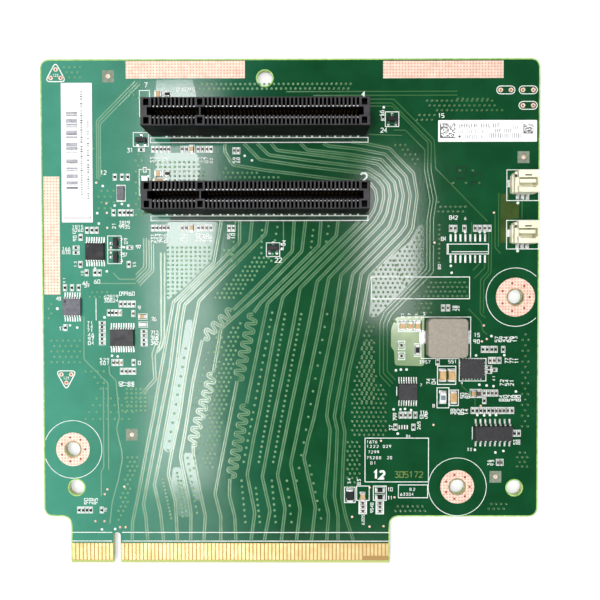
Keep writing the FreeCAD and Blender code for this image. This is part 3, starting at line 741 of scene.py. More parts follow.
# fields of covered vias: corners of each field in millimetres, its pitch, and the shift of every other row
viaFields = [
    ([(13.9, 84.6), (26, 84.6), (25.2, 80.4), (18.4, 73.6), (13.9, 69.8)], 1.2, 0),
    ([(28.6, 83.6), (31.8, 83.6), (31.6, 81.4), (28.6, 80.4)], 1.25, 0.5),
    ([(36.4, 80.8), (41.4, 80.8), (37.4, 76.2), (31.6, 69.6), (24.4, 69.2)], 1.22, 0.5),
    ([(79.9, 122), (98, 122), (103.4, 118.2), (79, 118.2), (79, 116.6), (83, 116.6), (84, 118.2)], 1.3, 0.5),
    ([(89.6, 123.2), (97.4, 123.2), (97.4, 122), (89.6, 122)], 1.3, 0.5),
    ([(71.4, 111.3), (76, 111.3), (79.4, 106.6), (78.9, 103.9), (77.2, 106)], 1.3, 0.5),
    ([(65.9, 64.2), (67.9, 63.6), (67.7, 55), (68.6, 49), (71.2, 46), (71.2, 34.2), (61.8, 34.2), (61.6, 44),
      (63.8, 54)], 1.25, 0.5),
    ([(61, 33.4), (64.6, 33.4), (64.6, 24), (61, 18)], 1.25, 0.5),
    ([(28.5, 104.4), (36, 103.4), (43, 102), (43, 100.6), (28.5, 100.6)], 1.25, 0.5),
    ([(30.4, 63), (33.4, 64.4), (30.4, 48), (25.2, 24.4), (22.2, 26.6), (26.4, 48)], 1.25, 0.5),
    ([(67.4, 77), (77.2, 84.6), (79.7, 89), (80.7, 89), (80.7, 78.4), (75, 72.2), (68.6, 65.8),
      (67.2, 65.8)], 1.25, 0.5),
    ([(10.8, 106.8), (24.4, 106.8), (24.4, 101), (10.8, 101)], 1.25, 0),
    ([(22.4, 126.6), (62, 126.6), (62, 124.8), (22.4, 124.8)], 1.25, 0.5),
    ([(-4.2, 98.6), (0, 98.6), (0, 93.8), (-4.2, 93.8)], 1.6, 0.5),
    ([(5.6, 108.8), (7.6, 108.8), (7.6, 92), (5.6, 92)], 1.5, 0.5),
    ([(84.6, 95.4), (92, 94.6), (92, 92.8), (84.6, 92.8)], 1.3, 0.5),
    ([(84.9, 90.4), (86, 90.4), (86, 79.4), (84.9, 79.4)], 1.3, 0),
    ([(73.6, 14), (82, 14), (82, 16.4), (73.6, 16.4)], 1.3, 0.5),
    ([(2, 46.4), (8.4, 46.4), (8.4, 40.6), (1.7, 40.6)], 1.2, 0),
    ([(3, 28.8), (6.4, 28.8), (4.2, 21.3), (2.2, 13.2), (0, 10.4), (-0.2, 13.4), (2, 21)], 1.25, 0.5),
    ([(-14.4, 131.2), (-8.2, 131.2), (-8.2, 127.8), (-13.2, 127.8)], 1.4, 0.5),
    ([(82.4, 75.3), (92.4, 75.3), (92.4, 70.7), (79.7, 70.7)], 1.25, 0.5),
    ([(77.8, 69.8), (83.3, 69.8), (83.3, 66.4), (78.6, 66.4)], 1.25, 0.5),
    ([(-16.9, 60), (-9.1, 60), (-9.2, 53.4), (-16.9, 53.4)], 1.5, 0.5),
    ([(-8.8, 52.2), (-3.4, 52.2), (-2.3, 46.4), (-5.4, 46.4)], 1.6, 0.5),
    ([(-6.7, 72.2), (-2.1, 72.2), (-2.1, 70.6), (-6.7, 70.6)], 1.3, 0.5),
    ([(-17.5, 69.6), (-16.2, 69.6), (-16.2, 65), (-17.5, 65)], 1.3, 0.5),
    ([(106.8, 61.4), (109, 61.4), (109, 36.4), (106.8, 36.4)], 1.5, 0.5),
    ([(105.6, 29.8), (108.6, 29.8), (108.6, 25.8), (105.6, 25.8)], 1.3, 0.5),
    ([(98.2, 16.4), (103.4, 16.4), (103.4, 14.6), (98.2, 14.6)], 1.3, 0.5),
    ([(64.8, 59.4), (68.2, 59.4), (68.2, 43), (64.8, 43)], 1.25, 0.5),
    ([(88.5, 104.6), (96.5, 104.6), (96.5, 100.2), (88.5, 100.2)], 3.4, 0.5),
    ([(-6, 44.5), (6.8, 44.5), (4, 38.4), (-8, 38.4)], 1.9, 0.5),
    ([(72.4, 64.8), (79.4, 64.8), (79.4, 64), (72.4, 64)], 1.1, 0),
    ([(26.6, 61.4), (29.2, 60.8), (24.6, 40), (20.8, 24), (19.8, 26), (21.4, 34), (25.2, 52)], 1.35, 0.5),
]
# single rows of vias that run beside the long pairs: start, end, spacing
viaRows = [
    ((41.2, 66.4), (33.6, 27), 1.9), ((44.6, 66), (37.6, 27), 1.35), ((48.8, 66), (41.4, 27), 1.35),
    ((55.6, 66), (47.6, 22), 3.3), ((24.4, 56), (20.6, 42), 1.9), ((18.4, 57), (13.6, 30), 2.3),
    ((36.8, 20), (37.8, 11), 1.5), ((41, 22), (42, 11), 1.5), ((33, 22), (34, 11), 1.5),
    ((45, 22), (46.2, 11), 1.9), ((12.2, 22.4), (14.4, 12), 0.9), ((16, 24), (17.4, 12.6), 1),
    ((17, 22), (18.6, 12.6), 1.3), ((18.8, 28), (21.2, 13.5), 1.5), ((51, 26), (54, 12), 2.3),
    ((31.6, 90), (30.6, 80), 1.5), ((38.6, 88), (38.4, 82), 1.4), ((42.6, 88.8), (41, 80), 1.5),
    ((52, 88), (51.2, 82), 1.4), ((56, 89), (55.4, 85), 1.4), ((-13, 121), (-4, 107), 2.6),
    ((4, 124), (9, 121), 1.4), ((73, 80), (79, 68.6), 1.3),
]
via = {"radius": 0.35, "rowShare": 0.95, "sides": 10}


def folded(start, end, half, folds):
    # a meander that makes up a pair's length
    a, b = Vector(start), Vector(end)
    along = (b - a) / folds
    out = Vector((along.y, -along.x)).normalized() * half
    line = [a]
    for k in range(folds):
        foot = a + along * k
        line += [foot + along * share + out * side for share, side in ((0.12, 1), (0.42, 1), (0.62, -1), (0.92, -1))]
    return rounded([tuple(p) for p in line + [b]], 0.5, 4)


def inside(x, y, corners):
    hit = False
    for (ax, ay), (bx, by) in zip(corners, corners[1:] + corners[:1]):
        if (ay > y) != (by > y) and x < (bx - ax) * (y - ay) / (by - ay) + ax:
            hit = not hit
    return hit


def makeTraces():
    laid = Batch()
    step = (routing["pairWidth"] + routing["pairGap"]) / 2
    high = zAt("trace")
    runs = [rounded(path, 0.45, 3) for path in routing["pairs"]]
    runs += [folded(*fold) for fold in routing["folds"]]
    for path in runs:
        for side in (-step, step):
            laid.add(domedRibbon(offsetLine(path, side), routing["pairWidth"], z0, high))
    for path in routing["lines"]:
        laid.add(domedRibbon(rounded(path, 0.4, 3), routing["lineWidth"], z0, high))
    laid.make("covered_traces", ["coveredCopper"], "solder_mask")


def coveredVia(x, y):
    # a plated hole with the mask dipping into it
    top = zAt("via")
    levels = [(z0, 1), (top - 0.012, 0.97), (top, 0.84), (top - 0.028, 0.62), (top - 0.06, 0.24)]
    return loft([circle(x, y, z, via["radius"] * share, via["sides"]) for z, share in levels])


def makeVias():
    drilled = Batch()
    for corners, pitch, stagger in viaFields:
        xs, ys = zip(*corners)
        step = pitch * via["rowShare"]
        for j in range(int((max(ys) - min(ys)) / step) + 1):
            for i in range(int((max(xs) - min(xs)) / pitch) + 2):
                x, y = min(xs) + (i + (j % 2) * stagger) * pitch, min(ys) + j * pitch * via["rowShare"]
                if inside(x, y, corners):
                    drilled.add(coveredVia(x, y))
    for start, end, spacing in viaRows:
        a, b = Vector(start), Vector(end)
        count = int((b - a).length / spacing)
        for k in range(count + 1):
            drilled.add(coveredVia(*(a + (b - a) * k / count)))
    drilled.make("covered_vias", ["coveredVia"], "solder_mask")


pours = {
    # lighter or barer areas under the mask: the first two by their corners
    "power": [(72.4, 62.3), (73.7, 65.2), (81.1, 65.6), (81.1, 52.3), (73.4, 52.5), (73.2, 56.4), (72.4, 57.3)],
    "smooth": [
        [(13.6, 90.2), (27.2, 90.2), (25.2, 80), (18.4, 73.2), (13.6, 69.6)],
        [(10.4, 108.2), (21.6, 108.2), (22.6, 104), (21.4, 100.2), (11.4, 100.2)],
        [(11, 127.2), (20.6, 127.2), (22, 121), (11, 121)],
        [(18.6, 64.6), (20.3, 64.6), (19.7, 57.9), (18, 48.1), (16.6, 38.7), (15.1, 30.4), (13.6, 29.2),
         (12.3, 30.4), (12.7, 34.1), (15.5, 48.1), (17.4, 57.9)],
        [(28.6, 87.4), (31.8, 87.4), (31.6, 84.4), (27.4, 80.2)],
        [(67.6, 77.2), (77.2, 85), (79.7, 89.4), (81, 89.4), (81, 78), (75, 71.6), (68.6, 65.2), (66.6, 65.2)],
        [(14.9, 25.6), (16.9, 25.6), (19, 15.8), (19.3, 12.4), (16.4, 12.4), (14.4, 21.4)],
        [(17.7, 29.4), (20, 29.4), (21.2, 22.5), (22.4, 16.4), (20.4, 17.2), (18, 26)],
    ],
    # beside the slots, strips of painted shadow that the slots cast on the mask, and bare laminate: left, low, right,
    # high
    "deep": [(14.6, 110.5, 66.6, 113.6), (14.6, 90, 66.6, 93)],
    "glass": [(100.9, 84.6, 103, 97.4), (103, 90.9, 105.7, 95.2), (7.9, 113.6, 9.5, 121.4), (7.7, 92.4, 9.3, 99.4)],
    "stamp": [("10", 91.9, 100.7), ("73", 96, 99.2)],
}


def makePours():
    laid = Batch()
    for area in pours["glass"]:
        laid.add(slab(*area, zAt("pour") - z0, 0.01), 1)
    for ink, corners in [(0, pours["power"])] + [(2, corners) for corners in pours["smooth"]]:
        laid.add(plate(roundedLoop(corners, 0.8, 3), z0, zAt("pour")), ink)
    # strips of painted shadow beside the slots
    for area in pours["deep"]:
        laid.add(slab(*area, 0.016, 0.004), 3)
    laid.make("covered_pours", ["powerSheet", "bareGlass", "pourMask", "slotShadowMask"], "solder_mask")


makeTraces()
makeVias()
makePours()
print("traces and vias laid")

# silkscreen

ink = {
    "line": 0.20, "ovalReach": 1.02,
    "tabLines": (8.22, 5.92),
    # framed areas: left, low, right, high
    "frames": [
        (102.5, 95.6, 110.8, 103.6), (102.5, 83, 110.8, 90.45), (-1.9, 79.3, 1.7, 86.55), (87, 81.7, 97.8, 84.3),
        (67.2, 70, 92.9, 75.7), (80.3, 54.3, 93.25, 65.2), (84.5, 41.3, 87.6, 46.6), (65.6, 21.7, 82.3, 33.3),
        (74.4, 17.5, 82.1, 20.9), (60.2, 16.2, 63, 20.3), (63.4, 16.8, 66.7, 20.6), (67.8, 16.8, 71.2, 20.6),
        (64, 13.2, 66, 16.7), (68.5, 13.2, 70.5, 16.7), (70.8, 114.9, 74.3, 118.7), (39.7, 81.1, 43.2, 84.7),
        (5, 109.9, 9, 113.5), (0.6, 95.6, 2.8, 99.8), (6.7, 117.6, 9.3, 124.4), (6.5, 97.2, 9.3, 103.9),
        (9.5, 110.85, 66.3, 112.1), (9.5, 90.5, 66.3, 91.75), (74.3, 61.4, 80.3, 64.3), (90.3, 48.4, 97.3, 54.3),
        (84.6, 47.5, 89.4, 52.3), (87.8, 41.9, 90.1, 46), (74.3, 56.7, 76, 58.9), (74.3, 54, 76, 56),
        (78.5, 54.9, 80.2, 58.2),
    ],
    "bars": [((-1.9, 82.9), (1.7, 82.9)), ((93.8, 33), (93.8, 36.3)), ((88.2, 82.3), (97.8, 82.3)),
             ((87.3, 81.9), (87.3, 84.1)), ((73.9, 44.5), (73.9, 46.9)), ((-5.1, 64.4), (-5.1, 70.2))],
    "dots": [(105.4, 95), (105.4, 82.5), (-15.3, 67.5), (-2.9, 65.2)],
    "spots": [(-3.1, 99.6), (-4.6, 92.5), (-4.2, 89.8), (2.4, 83.6), (-2.2, 77.3), (73.7, 51.2), (75, 51.4),
              (76.5, 51.4), (73.1, 40.9), (74.9, 40.9), (76.1, 41), (77.7, 40.7), (74.2, 34.5), (95.6, 47.4),
              (97.5, 47.2), (99.3, 47), (105.2, 45.6), (95.1, 39.4), (96.9, 39.3), (98.4, 39.4), (100, 39.4),
              (94.5, 30.2), (98.7, 60.2), (102.1, 55.2), (94.7, 55.1), (88, 78.6), (88.2, 76.8), (89.1, 87.4),
              (91.7, 87.4), (95.5, 87.4), (96.8, 87.4), (-5.3, 78), (-1, 55.1), (0.5, 54.9), (-12, 63.1),
              (-10.1, 62.5), (0, 94.5), (1.9, 94.9), (3.6, 94.5), (99.9, 29.5), (102, 29.9), (-4, 9), (-0.5, 9.1),
              (70.4, 119.9), (36, 106.2), (34.1, 107.4)],
    # plain numbers: text, x, y, height, quarter turns
    "numbers": [
        ("1", 64.4, 121, 2.6, 0), ("2", 64.4, 100.2, 2.6, 0), ("15", 84.6, 117.2, 1, 0), ("16", 70.4, 117.6, 1, 1),
        ("24", 69.6, 113.4, 1.1, 0), ("7", 8, 125.2, 1.2, 0), ("8", 7.6, 103.2, 1.2, 0), ("31", 3.4, 108.4, 1, 0),
        ("12", -3.6, 102.6, 1, 0), ("3", 43.9, 84, 1.2, 0), ("22", 42, 79.6, 1.15, 0), ("6", -11, 87.2, 1, 0),
        ("41", -8.6, 73.6, 1, 0), ("10", 71.6, 19.3, 0.85, 0), ("11", 71.6, 17, 0.85, 0),
    ],
    # rows of small plain figures: left, low, right, high, quarter turns
    "rows": [(-11.2, 87.6, -8.1, 89.4, 0), (-11, 85.2, -10, 86.8, 1), (-13.9, 81.8, -11.6, 83.7, 0),
             (-10.8, 78.4, -10, 80.3, 1), (-9, 76.1, -8.2, 77.6, 1), (-5.6, 74, -3.8, 75.5, 0),
             (-13.7, 74.2, -13, 76.1, 1), (-8.2, 73, -6.9, 74.2, 0), (1, 70.8, 5.2, 72.4, 0),
             (-3, 69.1, 0.9, 71.1, 0), (-15.6, 69.6, -14.3, 70.6, 0), (-0.7, 88.4, 0.3, 90.2, 1),
             (1.1, 88.4, 4, 90.5, 0), (2.4, 84.4, 3.4, 86.3, 1), (1.9, 81, 3.1, 82.6, 0), (9.4, 84.7, 14, 87.2, 1),
             (17.1, 84.9, 19.2, 87.2, 1), (21.2, 84.9, 25.7, 87.2, 1), (29.5, 85.7, 31.6, 87.4, 1),
             (4.7, 78.4, 5.5, 80, 1), (5.5, 83.1, 6.8, 84.2, 0), (5.9, 67.1, 7, 68.4, 0),
             (-7.5, 61.3, -5.7, 64.2, 0), (-7.3, 57.9, -5.5, 61.1, 0), (-4.2, 52.6, -1.5, 54.5, 0),
             (-14.9, 61.6, -13.6, 63.2, 0), (5.8, 52.6, 6.9, 54, 0), (9.2, 57.9, 11.2, 61.9, 0),
             (9.4, 64.2, 10.7, 65.3, 0), (87.5, 90.6, 89.8, 92.1, 0), (91.4, 90.6, 92.4, 91.4, 0),
             (85.4, 85.1, 86.7, 86.2, 0), (9.4, 105.6, 14.6, 107.4, 1), (21.6, 105.5, 24.6, 107.4, 1),
             (25, 105.5, 25.8, 107.1, 1), (31, 105.5, 32.9, 107.2, 1), (-8.8, 15.7, -5, 17.5, 1),
             (-3.4, 13.6, -2.6, 14.9, 1), (0.7, 46.9, 4.8, 48.3, 1), (16, 124, 21.2, 125.2, 0),
             (16.1, 102.6, 21.3, 103.7, 0), (94.1, 59.9, 95.8, 61.1, 0), (94, 58.2, 95.8, 59.3, 0),
             (99.5, 58.6, 105.5, 60.2, 1), (102.1, 53, 105.9, 54.5, 1), (99, 48.4, 99.8, 50.1, 1),
             (100.8, 47.1, 104.7, 49, 1), (100.7, 43, 106.5, 44.9, 1), (88, 39.5, 92.8, 41.2, 1),
             (104.6, 31.6, 106.4, 33, 1), (97.8, 26, 99.6, 27.8, 1), (92.4, 29.9, 93.9, 30.7, 0),
             (90.4, 43.8, 93.1, 45.3, 1), (81.5, 47.5, 84.2, 49.2, 1), (79.8, 52.9, 82.9, 53.8, 0),
             (87.4, 53, 89.8, 54, 0), (75, 64.9, 75.9, 66.5, 1), (76.8, 64.8, 77.6, 66.5, 1),
             (78.7, 64.8, 79.4, 66.5, 1), (80.7, 65.6, 81.5, 66.5, 0), (72.5, 37.9, 74.1, 39.9, 1),
             (80, 38.4, 82, 40.6, 0), (71.9, 35.3, 72.9, 36.9, 1), (79.3, 35.6, 80.2, 37.9, 1),
             (66, 31.9, 69, 32.7, 0), (66, 30.7, 69.5, 31.5, 0), (70.3, 30.7, 72.7, 31.5, 0),
             (66.4, 29.2, 69.5, 30, 0), (66, 27.7, 70.1, 28.5, 0), (71.4, 27.7, 72.9, 28.5, 0),
             (67, 26.3, 68.8, 27.1, 0), (77.3, 19.3, 79.2, 20.1, 0), (74.9, 18, 78.6, 18.8, 0),
             (61, 21.1, 61.9, 23, 1), (63.5, 20.9, 64.5, 22.6, 1), (67, 13.5, 67.9, 16.3, 1),
             (64.7, 10.3, 65.5, 13.1, 1), (80, 46.9, 80.8, 47.7, 0), (90.7, 47.4, 91.8, 48.1, 0),
             (76.4, 33.5, 77.7, 34.2, 0), (83.3, 41.4, 84.1, 42.3, 0), (88.5, 66.8, 90.3, 68.3, 1),
             (84.6, 77.7, 85.4, 79.2, 1)],
    "bold": ("12", 67.9, 22.6, 1.9), "olive": ("305172", 73.5, 22.9, 1.5),
}


def dashes(batch, left, top, right, height, low, high, spread, colour):
    # a row of short upright strokes, as small print looks from a step away
    x, y, weight = left, top, height * 0.15
    while x < right - height * 0.3:
        wide = height * spread.choice((0.32, 0.42, 0.5))
        stem = x + wide * 0.2
        if spread.random() < 0.84:
            batch.add(ribbon([(stem, y - height), (stem, y)], weight, low, high), colour)
            if spread.random() < 0.7:
                level = y - height * spread.choice((0.08, 0.5, 0.92))
                batch.add(ribbon([(stem, level), (x + wide, level)], weight, low, high), colour)
        x += wide + height * 0.22


def rowsOfFigures(batch, left, low, right, high, turn, spread):
    # fills a small block with figures, upright or on their side
    across, up = (right - left, high - low) if turn == 0 else (high - low, right - left)
    rows, columns = max(1, round(up / 1.15)), max(1, round(across / 0.78))
    size = min(0.92, up / rows * 0.82)
    for j in range(rows):
        for i in range(columns):
            u, v = (i + 0.1) * across / columns, (j + 0.1) * up / rows
            x, y = (left + u, low + v) if turn == 0 else (right - v, low + u)
            figures(batch, spread.choice("0123456789"), x, y, size, z0, zAt("ink"), 0, turn, 0.18)


def holeRing(x, y, sides=96):
    # a ring round a mounting hole, cut off at the board's edge
    arc = [p[:2] for p in circle(x, y, 0, holes["inkRing"], sides, math.radians(180 if x > 50 else 0))]
    onBoard = [boardLow.x + 0.45 < u < boardHigh.x - 0.45 for u, v in arc]
    if all(onBoard):
        return arc, True
    start = next(k for k in range(sides) if onBoard[k] and not onBoard[k - 1])
    keep = (onBoard[start:] + onBoard[:start]).index(False)
    return (arc[start:] + arc[:start])[:keep], False


def makeInk():
    spread = random.Random(7)
    printed = Batch()
    top = zAt("ink")
    wide = ink["line"]
    for y in ink["tabLines"]:
        for left, right in ((tab["left"] + 0.3, -1.3), (1.3, tab["right"] - 0.3)):
            printed.add(ribbon([(left, y), (right, y)], wide, z0, top))
    for frameBox in ink["frames"]:
        printed.add(ribbon(boxLine(*frameBox), wide, z0, top, True))
    for path in ink["bars"]:
        printed.add(ribbon(path, wide, z0, top))
    for kind, radius, sides in (("dots", 0.38, 16), ("spots", 0.34, 12)):
        for x, y in ink[kind]:
            printed.add(disc(x, y, radius, z0, top, sides))
    for x, y in holes["mounting"]:
        arc, closed = holeRing(x, y)
        printed.add(ribbon(arc, 0.16, z0, top, closed))
    half, reach = copper["ovalHalf"], ink["ovalReach"]
    for x, y in copper["ovals"]:
        line = [(x + s * half + reach * math.cos(a), y + reach * math.sin(a))
                for s, turn in ((1, -90), (-1, 90)) for a in [math.radians(turn + 180 * k / 8) for k in range(9)]]
        printed.add(ribbon(line, wide, z0, top, True))
    for x, y, up in copper["coupons"]:
        corners = [(x - 2.7, y - 1.75 * up), (x + 2.7, y - 1.75 * up), (x, y + 3.3 * up)]
        printed.add(ribbon(roundedLoop(corners, 1.3, 6), 0.26, z0, top, True))
        figures(printed, "123", x - 0.75, y - 0.45, 0.62, z0, top)
    for text, x, y, size, turn in ink["numbers"]:
        figures(printed, text, x, y, size, z0, top, 0, turn, 0.17)
    for row in ink["rows"]:
        rowsOfFigures(printed, *row, spread)
    figures(printed, *ink["bold"], z0, top, 0, 0, 0.3)
    figures(printed, *ink["olive"], z0, top, 1, 0, 0.14)
    printed.make("silkscreen", ["whiteInk", "oliveInk"], "paper")
    stamped = Batch()
    for text, left, low in pours["stamp"]:
        figures(stamped, text, left, low, 2.6, z0, zAt("pour"), 0, 1, 0.16)
    stamped.make("stamped_numbers", ["inkStamp"], "solder_mask")


makeInk()
print("silkscreen printed")

# paper labels

labels = {
    "thickness": 0.10, "corner": 0.2, "ink": 0.012, "bite": 0.02,
    "bars": {"left": -12.56, "right": -9.59, "from": 99.1, "to": 118.6, "widths": (0.16, 0.3, 0.5, 0.8, 1.0),
             "gaps": (0.22, 0.3, 0.45, 0.9), "end": 0.32},
    "columns": [(-8.9, 96.8, 124.6), (-7.2, 96.4, 116.4)], "columnStep": 0.62,      # x, then from and to
    "foot": [(-13.1, 91.5), (-13.1, 91.25), (-6.3, 91.25), (-6.3, 91.5)],
    "codes": [(85.0, 111.85, 4.0, 3.8, 14), (106.7, 113.0, 2.6, 2.4, 10)],          # left, low, width, height, cells
    "print": [(89.9, 115.6, 100.6, 1.0, 1), (89.9, 114.0, 96.4, 0.9, 2), (90.9, 112.6, 97.2, 0.9, 2),
              (99.4, 114.2, 103.6, 0.9, 1), (104.0, 115.0, 105.8, 0.9, 2)],         # left, top, right, height, ink
    "fineBars": {"from": 97.9, "to": 106.0, "low": 111.9, "high": 113.1, "widths": (0.12, 0.18, 0.3),
                 "gaps": (0.2, 0.3, 0.42)},
    "dot": (90.1, 112.25, 0.3),
}


def printLeftLabel(sheet, low, high, spread):
    bars = labels["bars"]
    at = bars["from"]
    while at < bars["to"]:
        thick = spread.choice(bars["widths"])
        sheet.add(ribbon([(bars["left"], at), (bars["right"], at)], thick, low, high), 2)
        at += thick + spread.choice(bars["gaps"])
    for end in (bars["from"], bars["to"]):
        sheet.add(ribbon([(bars["left"], end), (bars["right"], end)], bars["end"], low, high + 0.004), 1)
    sheet.add(ribbon(labels["foot"], 0.16, low, high), 1)
    for x, at, end in labels["columns"]:
        while at < end:
            if spread.random() < 0.8:
                shade = 1 if spread.random() < 0.3 else 2
                sheet.add(ribbon([(x, at), (x + 0.7, at)], 0.2, low, high), shade)
                sheet.add(ribbon([(x + 0.35, at - 0.24), (x + 0.35, at + 0.24)], 0.16, low, high), shade)
            at += labels["columnStep"]


def printRightLabel(sheet, low, high, spread):
    for left, bottom, wide, tall, count in labels["codes"]:
        cell, rise = wide / count, tall / count
        for i in range(count):
            for j in range(count):
                if i == 0 or j == 0 or spread.random() < 0.46:
                    sheet.add(chamferBlock(left + (i + 0.5) * cell, bottom + (j + 0.5) * rise, low,
                                           cell * 0.96, rise * 0.96, high - low, 0.01), 1)
    for left, top, right, height, shade in labels["print"]:
        dashes(sheet, left, top, right, height, low, high, spread, shade)
    bars = labels["fineBars"]
    at = bars["from"]
    while at < bars["to"]:
        thick = spread.choice(bars["widths"])
        sheet.add(ribbon([(at, bars["low"]), (at, bars["high"])], thick, low, high), 2)
        at += thick + spread.choice(bars["gaps"])
    x, y, radius = labels["dot"]
    sheet.add(disc(x, y, radius, low, high, 12), 1)


def makeLabels():
    spread = random.Random(23)
    top = boardTop + labels["thickness"]
    for name, printOn in (("left", printLeftLabel), ("right", printRightLabel)):
        low, high = boxOf(name + "_label")
        sheet = Batch()
        sheet.add(plate(roundedLoop(boxLine(low.x, low.y, high.x, high.y), labels["corner"], 3), boardTop, top))
        printOn(sheet, top - labels["bite"], top + labels["ink"], spread)
        sheet.make(name + "_paper_label", ["labelPaper", "blackInk", "greyInk"], "paper", [name + "_label"])


makeLabels()
print("labels stuck on")

# the two edge slots

slot = {
    "cellHalf": 0.31, "channel": 1.0, "lip": 1.18, "cellEnd": 3.2, "floor": 3.92, "lipDrop": 0.9,
    "channelEnd": 1.42, "keyRib": 0.34, "keyDrop": 0.25, "pocket": (1.36, 1.63), "pocketInset": 0.72,
    "pocketNear": 1.42, "pocketDepth": 3.0, "rimDrop": 0.16, "rimWidth": 0.2,
    "footHeight": 0.35, "foot": (1.6, 0.9), "footInset": (3.0, 0.5),
    "strip": 0.44, "sheet": 0.16,
    # the spring: distance from the channel's middle, and height over its floor or below its top
    "springRoot": [(2.75, 0.05), (2.7, 1.6)],
    "springBow": [(1.9, -7.4), (0.98, -6.4), (0.8, -5.6), (0.86, -4.6), (1.22, -2.4), (1.34, -0.95)],
    "springTip": [(1.24, -0.95), (1.52, -0.95), (1.54, -0.78), (1.44, -0.7), (1.24, -0.74)],
    "tailRows": (3.1, 1.35), "tailRing": (0.2, 0.5),
}


def gridBlock(xs, ys, level, low):
    # a solid over a grid, each field with its own height
    points, index, faces = [], {}, []

    def at(x, y, z):
        key = (round(x, 4), round(y, 4), round(z, 4))
        if key not in index:
            index[key] = len(points)
            points.append(key)
        return index[key]

    tall = [[level((x1 + x2) / 2, (y1 + y2) / 2) for y1, y2 in zip(ys, ys[1:])] for x1, x2 in zip(xs, xs[1:])]

    def height(i, j):
        return tall[i][j] if 0 <= i < len(xs) - 1 and 0 <= j < len(ys) - 1 else low

    for i in range(len(xs) - 1):
        for j in range(len(ys) - 1):
            x1, x2, y1, y2, z = xs[i], xs[i + 1], ys[j], ys[j + 1], tall[i][j]
            corners = boxLine(x1, y1, x2, y2)
            faces.append([at(*corner, z) for corner in corners])
            faces.append([at(*corner, low) for corner in corners[::-1]])
            beside = (height(i, j - 1), height(i + 1, j), height(i, j + 1), height(i - 1, j))
            for a, b, near in zip(corners, corners[1:] + corners[:1], beside):
                if near < z - 1e-6:
                    faces.append([at(*a, near), at(*b, near), at(*b, z), at(*a, z)])
    return points, [tuple(face) for face in faces]


def dropRim(points, xs, ys, top, drop):
    # the outer rim falls away to a broken edge
    return [(x, y, z - drop if z > top - 1e-3 and (x in (xs[0], xs[-1]) or y in (ys[0], ys[-1])) else z)
            for x, y, z in points]


def around(at, half):
    return [at - half, at + half]


def makeSlot(number):
    low, high = slotBoxes[number - 1]
    line = slotLines[number - 1]
    name = "slot_%d" % number
    cells = sorted(middle(b).x for b in solidBoxes(name + "_contacts_north"))
    first, last = cells[0] - slot["channelEnd"], cells[-1] + slot["channelEnd"]
    key = max((b - a, (a + b) / 2) for a, b in zip(cells, cells[1:]))[1]
    pocketWide, pocketDeep = slot["pocket"]
    inset, near = slot["pocketInset"] + pocketWide / 2, slot["pocketNear"]
    pockets = [low.x + inset, key, high.x - inset]
    top, rimWidth, ribHalf = high.z, slot["rimWidth"], slot["keyRib"] / 2
    xs = [low.x, low.x + rimWidth, high.x - rimWidth, high.x, first, last] + around(key, ribHalf)
    for x in cells:
        xs += around(x, slot["cellHalf"])
    for x in pockets:
        xs += around(x, pocketWide / 2)
    ys = [low.y, low.y + rimWidth, high.y - rimWidth, high.y]
    for y in (slot["channel"], slot["lip"], near, near + pocketDeep, slot["cellEnd"]):
        ys += around(line, y)
    xs, ys = sorted(set(round(x, 4) for x in xs)), sorted(set(round(y, 4) for y in ys))

    def level(x, y):
        out = abs(y - line)
        if out < slot["channel"]:
            if abs(x - key) < ribHalf:
                return top - slot["keyDrop"]
            return slot["floor"] if first < x < last else top
        if min(abs(x - p) for p in pockets) < pocketWide / 2 and near < out < near + pocketDeep:
            return top - slot["pocketDepth"]
        if out < slot["cellEnd"] and min(abs(x - c) for c in cells) < slot["cellHalf"]:
            return top - slot["lipDrop"] if out < slot["lip"] else slot["floor"]
        return top

    points, faces = gridBlock(xs, ys, level, boardTop + slot["footHeight"])
    points = dropRim(points, xs, ys, top, slot["rimDrop"])
    body = Batch()
    # painted light: the top faces take the lighter copy of the resin, everything below it the near-black copy as
    # painted shade
    litLids = [face for face in faces if min(points[i][2] for i in face) > top - 0.3]
    body.add((points, [face for face in faces if face not in set(litLids)]))
    body.add((points, litLids), 1)
    footX, footY = slot["footInset"]
    for x in (low.x + footX, key, high.x - footX):          # feet that stand it off the board
        for y in (low.y + footY, high.y - footY):
            body.add(chamferBlock(x, y, boardTop, *slot["foot"], slot["footHeight"] + 0.05, 0.08))
    body.make(name + "_moulding", ["slotShadedResin", "slotLitTop"], "black_resin", [name + "_housing"])

    # from its root at the outer wall, in to the bow that grips the card, and back out to the tip
    middleLine = [(u, slot["floor"] + z) for u, z in slot["springRoot"]] + [(u, top + z) for u, z in slot["springBow"]]
    half = 0.5 * slot["sheet"]
    outer = [(u + half * (1 if k < 5 else 0.8), z) for k, (u, z) in enumerate(middleLine)]
    inner = [(u - half, z) for u, z in middleLine][::-1]
    tip = [(u, top + z) for u, z in slot["springTip"]]
    springs, posts = Batch(), Batch()
    for k, x in enumerate(cells):
        for side in (-1, 1):
            springs.add(sweep(outer + inner, x, line, (0, side), slot["strip"]))
            springs.add(sweep(tip, x, line, (0, side), slot["strip"]), 1)
            # tails through the board, two rows a side
            posts.add(ring(x, line + side * slot["tailRows"][k % 2], *slot["tailRing"], z0, zAt("copper"), 12))
    springs.make(name + "_springs", ["shadedContactGold", "contactTip"], "contact_gold",
                 [name + "_contacts_north", name + "_contacts_south"])
    posts.make(name + "_pads", ["coveredVia"], "solder")


makeSlot(1)
makeSlot(2)
print("slots moulded")

# the two headers at the right edge

